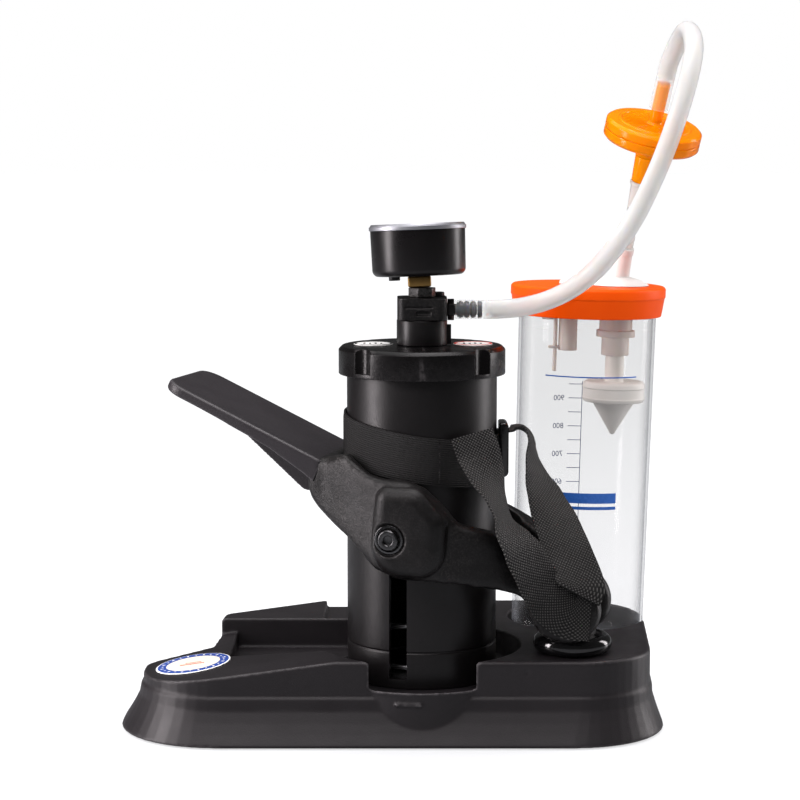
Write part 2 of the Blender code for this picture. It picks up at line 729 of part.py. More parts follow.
def make_fulcrum(pump, lever):
    """The post stands on the deck, and its tongue goes between the lever's two cheeks."""
    post_frame = empty("post_frame", (*post_place(), 0), Matrix.Rotation(-LEVER_TURN, 4, "Z"), pump)
    profile = ((0, 94), (14, 94), (14, DECK_Z + GAP), (7.6, DECK_Z + GAP), (7.6, 40), (0, 40))
    post = add("fulcrum_post", turned("fulcrum_post", profile, 24), "cast", post_frame)
    for i, side in enumerate((-1, 1)):
        flat = box(f"post_flat_{i}", (-20, min(side * 11.6, side * 20), 59), (20, max(side * 11.6, side * 20), 100))
        cut(post, as_tool(f"post_flat_{i}", flat, post_frame))
    cut(
        post,
        as_tool("post_bore", along_y(disc("post_bore", 4.3, -30, 30, 20)), post_frame, (0, 0, FULCRUM_Z)),
        as_tool("post_thread", disc("post_thread", 2.9, 30, 52, 12), post_frame),
    )
    screw = ((0, 51), (2.6, 51), (2.6, 23.7), (7, 23.7), (7, 20.5), (0, 20.5))
    add("post_screw", turned("post_screw", screw, 16), "steel", post_frame)
    rim = arc((19, DECK_Z + 5), 4.7, 100, -80, 7)
    rim = [(14.4, DECK_Z + 9.4)] + rim + [(14.4, DECK_Z + GAP)]
    add("post_bumper", turned("post_bumper", rim), "gloss_rubber", post_frame)
    add("fulcrum_pin", along_y(disc("fulcrum_pin", 4, -23, 23, 20)), "steel", lever)


# ---------------------------------------------------------------- gauge


def make_gauge(gauge):
    low, high = GAUGE_H
    add("gauge_stem", box("gauge_stem", (-7, -7, GAP), (7, 7, low - GAP)), "brass", gauge)
    case = (
        (0, low + 2),
        (GAUGE_R - 3, low + 2),
        (GAUGE_R - 2, high),
        (GAUGE_R, high),
        (GAUGE_R - 0.8, low + 0.8),
        (GAUGE_R - 1.6, low),
        (0, low),
    )
    add("gauge_case", turned("gauge_case", case), "cap", gauge)
    rim = ((GAUGE_R, high + 2.4), (GAUGE_R + 0.3, high + GAP), (25.4, high + GAP), (24.6, high + 2.4))
    add("gauge_bezel", turned("gauge_bezel", rim), "silver", gauge)
    add("gauge_lens", disc("gauge_lens", 25.6, high - 2, high - 0.4), "clear", gauge)
    add("gauge_dial", ring("gauge_dial", 1.5, 25.4, high - 7, high - 6.4), "paper", gauge)
    needle = add("gauge_needle", box("gauge_needle", (-5, -0.7, high - 4.9), (19, 0.7, high - 4.4)), "red", gauge)
    join(needle, as_tool("needle_hub", disc("needle_hub", 2.6, high - 5.2, high - 4, 12), gauge))
    join(needle, as_tool("needle_spindle", disc("needle_spindle", 1.0, high - 15, high - 4.5, 12), gauge))
    bend = [(17 * math.cos(a), 17 * math.sin(a), low + 8) for a in (math.radians(d) for d in range(-130, 141, 30))]
    add("bourdon_tube", tube("bourdon_tube", bend, 2.2, 1), "brass", gauge)


# ---------------------------------------------------------------- jar, lid and float


def make_jar(jar):
    foot, top = JAR_R
    profile = (
        (0, 3.4),
        (foot - 2.6, 3.4),
        (foot - 1.5, 5),
        (top - 1.6, JAR_TOP),
        (top, JAR_TOP),
        (foot + 0.1, 3),
        (foot - 1.4, GAP),
        (0, GAP),
    )
    add("collection_jar", turned("collection_jar", profile, 48), "clear", jar)
    low, high = LID_Z
    bottom, top = LID_R
    inside = JAR_R[1] + 0.6
    profile = (
        (0, high),
        (top - 1.2, high),
        (top, high - 1.2),
        (top, high - 7),
        (bottom, low),
        (inside, low),
        (inside, JAR_TOP + 1.6),
        (0, JAR_TOP + 1.6),
    )
    lid = add("jar_lid", turned("jar_lid", profile, 48), "orange", jar)
    add("lid_gasket", ring("lid_gasket", 41, JAR_R[1], JAR_TOP + GAP, JAR_TOP + 1.3, 48), "rubber", jar)
    cut(
        lid,
        as_tool("port_way", disc("port_way", 4.4, 200, 250, 16), jar, (PORT_X, 0, 0)),
        as_tool("inlet_way", disc("inlet_way", 3.4, 200, 250, 16), jar, (INLET_X, 0, 0)),
    )
    under = JAR_TOP + 1.3
    cage = ((10.5, under), (10.5, 203), (12.3, 203), (12.3, 198.8), (8.75, 198.8), (8.75, 187), (6.4, 187))
    cage += ((6.4, 206.5), (4.5, 206.5), (4.5, 216.2), (6.3, 216.2), (6.3, under))
    add("float_cage", turned("float_cage", cage, 24), "white", jar, (PORT_X, 0, 0))
    float_body = ((0, 219), (5.8, 219), (5.8, 216.5), (3.9, 216.5), (3.9, 198), (6, 198), (6, 170))
    float_body += ((19, 170), (20, 169), (20, 158), (19, 157), (13.4, 157), (1.8, 136.6), (0, 135.4))
    add("shutoff_float", turned("shutoff_float", float_body), "white", jar, (PORT_X, 0, 0))
    inlet = ((5.5, under), (5.5, 191.5), (6.9, 191.5), (6.9, 188.5), (2.2, 188.5), (2.2, 178.5), (1.2, 178.5))
    inlet += ((1.2, under),)
    add("inlet_tube", turned("inlet_tube", inlet, 20), "white", jar, (INLET_X, 0, 0))
    plug = ((0, high + 2.6), (6.2, high + 2.6), (6.8, high + GAP), (3.0, high + GAP), (3.0, high - 3), (0, high - 3))
    add("inlet_plug", turned("inlet_plug", plug, 20), "white", jar, (INLET_X, 0, 0))


def make_filter(jar, port):
    top = LID_Z[1]
    dome = ((0, top + 6), (8, top + 5.6), (14, top + 4), (18.5, top + 1.8), (20.5, top + GAP), (0, top + GAP))
    lid_port = add("lid_port", turned("lid_port", dome), "white", jar, (PORT_X, 0, 0))
    neck = ((0, 26.4), (3.4, 26.4), (5.4, 26.2), (5.4, 22), (5, 21.8), (6.6, 3), (0, 3))
    join(lid_port, as_tool("port_neck", turned("port_neck", neck, 20), port))
    taper = ((0, 87.6), (7.3, 87.6), (3.6, 34), (4.1, 33.6), (4.1, 26.8), (0, 26.8))
    add("taper_adaptor", turned("taper_adaptor", taper, 20), "amber", port)

    low, high = FILTER_Z
    middle = (low + high) / 2
    lower = (
        (0, low + 1.8),
        (28, low + 1.8),
        (28, middle - 0.15),
        (FILTER_R, middle - 0.15),
        (FILTER_R, low + 1.5),
        (FILTER_R - 2, low),
        (7.6, low),
        (7.6, 88),
        (0, 88),
    )
    add("filter_lower_shell", turned("filter_lower_shell", lower), "amber", port)
    upper = (
        (0, PORT_TIP),
        (3.9, PORT_TIP),
        (3.9, high),
        (FILTER_R - 2, high),
        (FILTER_R, high - 1.5),
        (FILTER_R, middle + 0.15),
        (28, middle + 0.15),
        (28, high - 1.8),
        (0, high - 1.8),
    )
    add("filter_upper_shell", turned("filter_upper_shell", upper), "amber", port)
    add("filter_membrane", disc("filter_membrane", 27.6, middle - 0.3, middle + 0.3), "paper", port)


# ---------------------------------------------------------------- webbing, label and hose


def make_webbing(pump):
    belt = ring("strap_belt", BELT_R, BELT_R + WEB_THICK, BELT_TOP - WEB_WIDTH, BELT_TOP, 48)
    fall = Matrix.Identity(4)
    fall[2][0], fall[2][1] = BELT_FALL
    add("strap_belt", turn_mesh(belt, fall), "webbing", pump)
    loop = rounded(((48.3, -12, 1), (52.3, -12, 1), (52.3, 8, 1), (48.3, 8, 1)), 0, 2)
    add("belt_loop", prism("belt_loop", loop, 153.5, 181), "webbing", pump)
    front = (
        ((30, -42.5, 182), (0.9, 0.42, -0.05)),
        ((35, -46.3, 168), (0.84, 0.5, 0.2)),
        ((40.5, -51.5, 154), (0.6, 0.6, 0.52)),
        ((46.5, -57.5, 139), (0.08, 0.48, 0.87)),
        ((52.5, -61, 126), (0.0, 0.33, 0.94)),
        ((60, -61.2, 112.5), (0.12, 0.28, 0.95)),
        ((68, -57.5, 97), (0.15, 0.2, 0.96)),
        ((77, -53.5, 84), (0.1, 0.0, 1.0)),
        ((88, -51.8, 76), (-0.3, 0.0, 0.95)),
        ((99, -52.6, 76.5), (-0.4, 0.05, 0.9)),
    )
    add("strap_front_leg", ribbon("strap_front_leg", front), "webbing", pump)
    rear = (
        ((91.5, -56, 91), (0.88, -0.05, -0.47)),
        ((93.5, -53, 97), (0.97, 0.0, -0.22)),
        ((87, -43.5, 113), (1.0, 0.0, -0.05)),
        ((80, -32, 130), (0.98, 0.1, -0.12)),
        ((74, -19.5, 146), (0.82, 0.55, -0.2)),
        ((69.5, -10, 160), (0.4, 0.9, -0.1)),
        ((67.4, -2, 172), (0.1, 0.99, 0.0)),
        ((65, 3, 178.5), (0.0, 1.0, 0.0)),
        ((60, 6, 182), (0.0, 1.0, 0.0)),
        ((53.6, 7, 181.5), (0.0, 1.0, 0.0)),
    )
    add("strap_rear_leg", ribbon("strap_rear_leg", rear), "webbing", pump)


def make_nose_label(pump):
    """An oval label on the nose, on the ramp's own slope."""
    slope = math.atan2(17, 122)
    place = empty("nose_slope", (-140, -6, 34 + 26 * math.tan(slope)), Matrix.Rotation(-slope, 4, "Y"), pump)
    label = turn_mesh(disc("nose_label", 23, 0.15, 0.6, 32), Matrix.Diagonal((1, 1.06, 1, 1)))
    add("nose_label", label, "paper", place)


def make_hose(pump, port):
    """From the barb, in front of the lid and the filter, over the top and down onto the filter's port."""
    into_pump = pump.matrix_world.inverted() @ port.matrix_world
    tip = into_pump @ Vector((0, 0, (PORT_TIP + GAP) * MM)) / MM
    before = into_pump @ Vector((0, 0, (PORT_TIP + 5) * MM)) / MM
    route = [HOSE_START, *smooth_route([*HOSE_ROUTE, before], 14), tip]
    add("suction_hose", tube("suction_hose", route, HOSE_R, 2), "silicone", pump)


def finish_shading():
    """Smooth shading on the round faces, with the edges kept sharp."""
    graph = bpy.context.evaluated_depsgraph_get()
    for obj in parts.objects:
        if obj.type != "MESH":
            continue
        mesh = bpy.data.meshes.new_from_object(obj.evaluated_get(graph))
        obj.modifiers.clear()
        obj.data = mesh
        mesh.shade_smooth()
        mesh.set_sharp_from_angle(angle=math.radians(35))


def main():
    clear_scene()
    pump = empty("pump_axis", (PUMP_X, PUMP_Y, 0))
    lever = empty("lever_axis", (*post_place(), FULCRUM_Z), Matrix.Rotation(-LEVER_TURN, 4, "Z"), pump)
    gauge = empty("gauge_axis", (-1.4, 0, 268.3), Matrix.Rotation(GAUGE_TILT, 4, "Y"), pump)
    jar = empty("jar_axis", JAR_FOOT, Matrix.Rotation(JAR_LEAN, 4, "Y"), pump)
    turn = Vector((0, 0, 1)).rotation_difference(FILTER_TILT).to_matrix()
    port = empty("port_axis", (PORT_X, 0, LID_Z[1]), turn, jar)
    bpy.context.view_layer.update()

    make_base(pump)
    make_barrel(pump)
    make_cap(pump)
    make_valves(pump)
    make_piston(pump)
    make_spring(pump)
    make_yoke(lever)
    make_pedal(lever)
    make_fulcrum(pump, lever)
    make_gauge(gauge)
    make_jar(jar)
    make_filter(jar, port)
    make_webbing(pump)
    make_nose_label(pump)
    make_hose(pump, port)
    bpy.context.view_layer.update()
    finish_shading()


main()
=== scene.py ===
"""Looks of the foot-operated suction pump: camera, studio, materials and the detailed pieces.

Most pieces stand for a CAD node. Their shapes are made in millimetres, in the frame that the node has, and
become metres in piece(). Angles are in degrees, apart from those that come from atan2.
"""

import math

import bmesh
import bpy
from mathutils import Matrix, Vector


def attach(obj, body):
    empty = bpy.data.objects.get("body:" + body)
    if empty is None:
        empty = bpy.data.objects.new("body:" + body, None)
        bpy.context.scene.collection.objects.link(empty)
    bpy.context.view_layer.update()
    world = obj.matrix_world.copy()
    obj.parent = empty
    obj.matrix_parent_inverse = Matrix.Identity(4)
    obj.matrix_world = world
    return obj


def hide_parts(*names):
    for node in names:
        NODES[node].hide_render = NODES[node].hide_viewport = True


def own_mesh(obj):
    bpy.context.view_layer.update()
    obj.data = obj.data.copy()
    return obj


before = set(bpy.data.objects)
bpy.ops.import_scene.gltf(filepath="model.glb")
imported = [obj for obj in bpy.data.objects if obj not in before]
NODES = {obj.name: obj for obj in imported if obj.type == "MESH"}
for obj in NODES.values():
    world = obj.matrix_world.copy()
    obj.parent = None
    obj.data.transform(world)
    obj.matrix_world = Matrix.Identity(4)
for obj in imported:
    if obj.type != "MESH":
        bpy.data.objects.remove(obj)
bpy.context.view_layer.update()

MM = 0.001
TRAY = "tray_and_fixed"

# ---------------------------------------------------------------- frames, as in the CAD

LEVER_TURN = 15
FULCRUM_REACH = 94.0
FULCRUM_Z = 79.0
PEDAL_SLOPE = 25


def moved(x, y, z):
    return Matrix.Translation(Vector((x, y, z)))


def turned(axis, degrees):
    return Matrix.Rotation(math.radians(degrees), 4, axis)


PUMP = moved(5.2, -36.5, 0)
POST_X = FULCRUM_REACH * math.cos(math.radians(LEVER_TURN))
POST_Y = -FULCRUM_REACH * math.sin(math.radians(LEVER_TURN))
POST = PUMP @ moved(POST_X, POST_Y, 0) @ turned("Z", -LEVER_TURN)
LEVER = POST @ moved(0, 0, FULCRUM_Z)
GAUGE = PUMP @ moved(-1.4, 0, 268.3) @ turned("Y", -2.2) @ turned("X", -2.2)
JAR = PUMP @ moved(101.3, 79, 33.2) @ turned("Y", 1.4)
PORT_TURN = Vector((0, 0, 1)).rotation_difference(Vector((0.16, -0.325, 1.0))).to_matrix().to_4x4()
PORT_X, INLET_X, LID_TOP = 18.5, -12, 231.7
PORT = JAR @ moved(PORT_X, 0, LID_TOP) @ PORT_TURN
LYING = turned("Y", 90)

# ---------------------------------------------------------------- camera and studio


LENS, SENSOR = 101.7, 36
CAMERA_PLACE = (-0.0081, -1.3995, 0.360)
CAMERA_DIP = 6.7


def make_camera():
    camera = bpy.data.cameras.new("camera")
    camera.lens = LENS
    camera.sensor_width = SENSOR
    camera.clip_end = 100
    obj = bpy.data.objects.new("camera", camera)
    bpy.context.scene.collection.objects.link(obj)
    obj.location = CAMERA_PLACE
    obj.rotation_euler = (math.radians(90 - CAMERA_DIP), 0, 0)
    bpy.context.scene.camera = obj


def make_light(name, place, target, size, power, colour=(1, 1, 1)):
    light = bpy.data.lights.new(name, "AREA")
    light.shape = "RECTANGLE"
    light.size, light.size_y = size
    light.energy = power
    light.color = colour
    obj = bpy.data.objects.new(name, light)
    bpy.context.scene.collection.objects.link(obj)
    obj.location = place
    obj.rotation_euler = (Vector(target) - Vector(place)).to_track_quat("-Z", "Y").to_euler()


def feed(tree, socket, value):
    """Gives a socket a link, a colour or a number."""
    if isinstance(value, bpy.types.NodeSocket):
        tree.links.new(value, socket)
    elif isinstance(value, tuple) and len(value) == 3 and socket.type == "RGBA":
        socket.default_value = (*value, 1)
    else:
        socket.default_value = value


def maths(tree, operation, first, second=0.0):
    node = tree.nodes.new("ShaderNodeMath")
    node.operation = operation
    feed(tree, node.inputs[0], first)
    feed(tree, node.inputs[1], second)
    return node.outputs[0]


def make_world():
    """White to the eye and through clear plastic, softer as a light, and near black in a reflection."""
    world = bpy.data.worlds.new("studio")
    bpy.context.scene.world = world
    world.use_nodes = True
    tree = world.node_tree
    path = tree.nodes.new("ShaderNodeLightPath").outputs
    seen = maths(tree, "MAXIMUM", path["Is Camera Ray"], path["Is Transmission Ray"])
    lit = maths(tree, "MULTIPLY", path["Is Diffuse Ray"], 0.85)
    background = tree.nodes["Background"]
    feed(tree, background.inputs["Color"], (1, 1, 1))
    feed(
        tree, background.inputs["Strength"],
        maths(tree, "MAXIMUM", seen, maths(tree, "MAXIMUM", lit, 0.07)),
    )


def make_studio():
    make_world()
    make_light("overhead", (0.2, -0.15, 1.5), (0, 0, 0.2), (1.0, 0.8), 15, (1, 0.95, 0.97))
    make_light("left_softbox", (-1.3, -0.3, 0.55), (0, 0, 0.2), (0.3, 1.1), 24, (1, 0.93, 0.95))
    make_light("right_softbox", (1.5, 0.5, 0.6), (0, 0, 0.25), (0.35, 1.1), 13, (1, 0.95, 0.96))
    make_light("front_fill", (-0.5, -1.5, 1.9), (0, 0, 0.15), (1.4, 0.6), 18, (1, 0.95, 0.97))
    sun = bpy.data.lights.new("floor_wash", "SUN")
    sun.energy = 1.3
    sun.angle = math.radians(50)
    obj = bpy.data.objects.new("floor_wash", sun)
    bpy.context.scene.collection.objects.link(obj)
    obj.rotation_euler = (math.radians(-14), math.radians(-10), 0)
    bpy.context.scene.view_settings.view_transform = "Standard"
    make_floor()


def make_floor():
    """A pale floor that takes the shadow near the object, where it also glows less as a painted shade, and
    is plain white to the eye further off.
    """
    mesh = bpy.data.meshes.new("floor")
    mesh.from_pydata([(-20, -20, 0), (20, -20, 0), (20, 20, 0), (-20, 20, 0)], [], [(0, 1, 2, 3)])
    floor = bpy.data.objects.new("floor", mesh)
    bpy.context.scene.collection.objects.link(floor)
    look = Look("floor_white")
    look.set("Base Color", look.mix(look.noise(6, 2), (0.24, 0.247, 0.26), (0.26, 0.266, 0.28)))
    look.set("Roughness", 0.22)
    look.set("Specular IOR Level", 0.35)
    path = look.tree.nodes.new("ShaderNodeLightPath").outputs
    seen = look.maths("MAXIMUM", path["Is Camera Ray"], path["Is Transmission Ray"])
    away = look.tree.nodes.new("ShaderNodeVectorMath")
    away.operation = "LENGTH"
    spot = look.stretched((0.5, 1.0, 1.0))
    spot.node.inputs["Location"].default_value = (0.01, 0.13, 0)
    look.tree.links.new(spot, away.inputs[0])
    far = look.span(away.outputs["Value"], 0.085, 0.17)
    look.set("Emission Color", (1, 1, 1, 1))
    # Painted shade: the floor glows less near the object, so it is greyer in front of the tray.
    glow_and_painted_shade = look.span(far, 0, 1, 0.62, 0.84)
    look.set("Emission Strength", look.maths("MULTIPLY", glow_and_painted_shade, look.span(seen, 0, 1, 0.1, 1.0)))
    mesh.materials.append(look.material)


# ---------------------------------------------------------------- materials


class Look:
    """A material and its node tree. Textures use the piece's own coordinates, in metres."""

    def __init__(self, name):
        self.material = bpy.data.materials.new(name)
        self.material.use_nodes = True
        self.tree = self.material.node_tree
        self.shader = self.tree.nodes["Principled BSDF"]
        self.coordinates = self.tree.nodes.new("ShaderNodeTexCoord")
        self.where = self.coordinates.outputs["Object"]

    def set(self, name, value):
        feed(self.tree, self.shader.inputs[name], value)

    def maths(self, operation, first, second=0.0):
        return maths(self.tree, operation, first, second)

    def stretched(self, scale):
        node = self.tree.nodes.new("ShaderNodeMapping")
        self.tree.links.new(self.where, node.inputs["Vector"])
        node.inputs["Scale"].default_value = scale
        return node.outputs[0]

    def noise(self, scale, detail=2.0, roughness=0.5, stretch=None):
        node = self.tree.nodes.new("ShaderNodeTexNoise")
        self.tree.links.new(self.stretched(stretch) if stretch else self.where, node.inputs["Vector"])
        node.inputs["Scale"].default_value = scale
        node.inputs["Detail"].default_value = detail
        node.inputs["Roughness"].default_value = roughness
        return node.outputs["Fac"]

    def pointiness(self):
        return self.tree.nodes.new("ShaderNodeNewGeometry").outputs["Pointiness"]

    def span(self, value, low, high, to_low=0.0, to_high=1.0):
        node = self.tree.nodes.new("ShaderNodeMapRange")
        feed(self.tree, node.inputs["Value"], value)
        for name, number in (
            ("From Min", low), ("From Max", high), ("To Min", to_low), ("To Max", to_high)
        ):
            node.inputs[name].default_value = number
        return node.outputs[0]

    def mix(self, factor, low, high):
        node = self.tree.nodes.new("ShaderNodeMix")
        node.data_type = "RGBA"
        feed(self.tree, node.inputs[0], factor)
        feed(self.tree, node.inputs[6], low)
        feed(self.tree, node.inputs[7], high)
        return node.outputs[2]

    def bump(self, height, distance, strength=1.0, onto=None):
        node = self.tree.nodes.new("ShaderNodeBump")
        node.inputs["Strength"].default_value = strength
        node.inputs["Distance"].default_value = distance
        self.tree.links.new(height, node.inputs["Height"])
        if onto:
            self.tree.links.new(onto, node.inputs["Normal"])
        return node.outputs[0]


def moulded(name, dark, light, rough, grain, depth, cloud=18.0, wear_and_highlight=None, specular=0.5):
    """A moulded plastic: clouded colour, uneven gloss, a fine grain and, if asked, paler edges, partly edge
    wear and partly a painted highlight.
    """
    look = Look(name)
    colour = look.mix(look.span(look.noise(cloud, 4, 0.6), 0.3, 0.7), dark, light)
    # Paler convex edges: edge wear, and on the cap a painted highlight of its glossy rims.
    if wear_and_highlight:
        fine = look.noise(350, 3, 0.7)
        edge = look.maths(
            "MULTIPLY", look.span(look.pointiness(), 0.515, 0.57), look.span(fine, 0.3, 0.65)
        )
        colour = look.mix(edge, colour, wear_and_highlight)
    look.set("Base Color", colour)
    low, high = rough
    patch = look.noise(cloud * 2.2, 5, 0.65)
    look.set("Roughness", look.span(patch, 0.3, 0.7, low, high))
    look.set("Specular IOR Level", specular)
    texture = look.noise(grain, 2, 0.5)
    look.set("Normal", look.bump(texture, depth, 0.6))
    return look


def axes_of(look, vector):
    """The numbers of a vector socket, one a direction."""
    split = look.tree.nodes.new("ShaderNodeSeparateXYZ")
    look.tree.links.new(vector, split.inputs[0])
    return split.outputs


def cast(name):
    """Coarse black cast surface: pitted, with greyer high spots, which are a painted glint."""
    look = Look(name)
    coarse = look.noise(900, 6, 0.75)
    patches = look.noise(30, 4, 0.62)
    by_pedal = look.span(axes_of(look, look.where)[0], -0.055, -0.02, 1.0, 0.25)
    # Painted highlight: grey glints on the high spots, more of them towards the pedal.
    painted_glint_spots = look.maths("MULTIPLY", look.span(coarse, 0.48, 0.7), look.span(patches, 0.36, 0.62))
    painted_glint_spots = look.maths("MULTIPLY", painted_glint_spots, by_pedal)
    colour = look.mix(look.span(patches, 0.3, 0.75), (0.002, 0.0017, 0.0018), (0.0044, 0.0038, 0.004))
    colour = look.mix(painted_glint_spots, colour, (0.085, 0.079, 0.076))
    edge = look.maths("MULTIPLY", look.span(look.pointiness(), 0.515, 0.56), look.span(coarse, 0.4, 0.6))
    look.set("Base Color", look.mix(edge, colour, (0.07, 0.066, 0.064)))
    look.set("Roughness", look.span(look.noise(60, 4, 0.6), 0.3, 0.7, 0.3, 0.5))
    look.set("Specular IOR Level", 0.25)
    pits = look.bump(coarse, 0.0003, 0.6)
    look.set("Normal", look.bump(look.noise(110, 3, 0.5), 0.0011, 0.4, pits))
    return look


def webbing(name, pitch=2.2, lit_peak=(0.068, 0.0655, 0.062), shaded_valley=(0.0012, 0.0012, 0.0012), ribbed=False):
    """Woven tape, its raised threads painted lighter as a highlight and its hollows darker as a shade. The
    UV map runs across and along it, in millimetres.
    """
    look = Look(name)
    across, along = axes_of(look, look.coordinates.outputs["UV"])[:2]
    turn = 2 * math.pi / pitch

    def waves(run, often):
        return look.maths("SINE", look.maths("MULTIPLY", run, turn * often))

    if ribbed:
        ribs = look.maths("MULTIPLY", waves(across, 1.6), 0.35)
        weave = look.maths("ADD", ribs, look.maths("MULTIPLY", waves(along, 2.6), 0.2))
    else:
        weave = look.maths("MULTIPLY", waves(across, 1), waves(along, 1))
    height = look.span(weave, -0.6 if ribbed else 0.0, 0.85)
    fibre = look.noise(2400, 2, 0.6)
    tone = look.maths("MULTIPLY", height, look.span(fibre, 0.2, 0.8, 0.55, 1.1))
    # Painted highlight on the raised threads and painted shade in the hollows of the weave.
    look.set("Base Color", look.mix(tone, shaded_valley, lit_peak))
    look.set("Roughness", look.span(fibre, 0.2, 0.8, 0.5, 0.75))
    look.set("Specular IOR Level", 0.3)
    look.set("Normal", look.bump(height, 0.0005, 0.9, look.bump(fibre, 0.0001, 0.4)))
    return look


def clear(name, colour, rough, transmission, edge=None, ior=1.49, specular=0.5, subsurface=0.0):
    """Clear or milky plastic. Its edges, seen along the wall, take the edge colour, a painted shade."""
    look = Look(name)
    mottle = look.noise(45, 3, 0.5)
    dark = tuple(c * 0.97 for c in colour)
    tint = look.mix(mottle, dark, colour)
    # Painted shade: the edge colour darkens the wall where it is seen along itself.
    if edge:
        facing = look.tree.nodes.new("ShaderNodeLayerWeight")
        facing.inputs["Blend"].default_value = 0.5
        tint = look.mix(look.span(facing.outputs["Facing"], 0.45, 0.95), tint, edge)
    look.set("Base Color", tint)
    low, high = rough
    look.set("Roughness", look.span(look.noise(90, 3, 0.6), 0.3, 0.7, low, high))
    look.set("Transmission Weight", transmission)
    look.set("IOR", ior)
    look.set("Specular IOR Level", specular)
    if subsurface:
        look.set("Subsurface Weight", subsurface)
        look.set("Subsurface Radius", (0.004, 0.003, 0.002))
        look.set("Subsurface Scale", 1.0)
    look.set("Normal", look.bump(look.noise(60, 2, 0.5), 0.00004, 0.1))
    return look


def milky_hose(name):
    """Milky silicone, clearer where it is stretched over the barb and over the filter's port."""
    look = clear(name, (0.76, 0.76, 0.75), (0.3, 0.42), 0.62, (0.58, 0.585, 0.59), 1.15, 0.25, 0.35)
    over = []
    for place, reach in ((PUMP @ Vector((28, 0, HOSE_Z)), 10), (PORT @ Vector((0, 0, PORT_TIP - 9)), 9)):
        apart = look.tree.nodes.new("ShaderNodeVectorMath")
        apart.operation = "DISTANCE"
        look.tree.links.new(look.where, apart.inputs[0])
        apart.inputs[1].default_value = place * MM
        over.append(look.span(apart.outputs["Value"], reach * MM, (reach + 6) * MM, 0.26, 1.0))
    look.set("Alpha", look.maths("MINIMUM", *over))
    return look


def thin_wall(name, colour, edge):
    """A clear wall that shows what is behind it, greyer where it is seen along itself, a painted shade."""
    look = Look(name)
    facing = look.tree.nodes.new("ShaderNodeLayerWeight")
    facing.inputs["Blend"].default_value = 0.5
    along = look.span(facing.outputs["Facing"], 0.35, 1.0)
    steep = look.maths("MULTIPLY", along, along)
    # Painted shade: the edge colour greys the wall where it is seen along itself.
    look.set("Base Color", look.mix(steep, colour, edge))
    look.set("Alpha", look.span(steep, 0, 1, 0.09, 0.62))
    look.set("Roughness", look.span(look.noise(90, 3, 0.6), 0.3, 0.7, 0.03, 0.09))
    look.set("Specular IOR Level", 0.6)
    look.set("Normal", look.bump(look.noise(40, 2, 0.5), 0.00005, 0.15))
    return look


def metal(name, dark, light, rough, stretch=None):
    look = Look(name)
    streaks = look.noise(300, 4, 0.6, stretch)
    look.set("Base Color", look.mix(streaks, dark, light))
    look.set("Metallic", 1.0)
    low, high = rough
    look.set("Roughness", look.span(streaks, 0.3, 0.7, low, high))
    look.set("Normal", look.bump(streaks, 0.00005, 0.4))
    return look


def printed(name, colour, rough=0.45):
    look = Look(name)
    speckle = look.noise(900, 2, 0.5)
    pale = tuple(min(1.0, c * 1.15 + 0.01) for c in colour)
    look.set("Base Color", look.mix(look.span(speckle, 0.35, 0.65), colour, pale))
    look.set("Roughness", rough)
    look.set("Normal", look.bump(speckle, 0.00002, 0.3))
    return look


LOOKS = {}


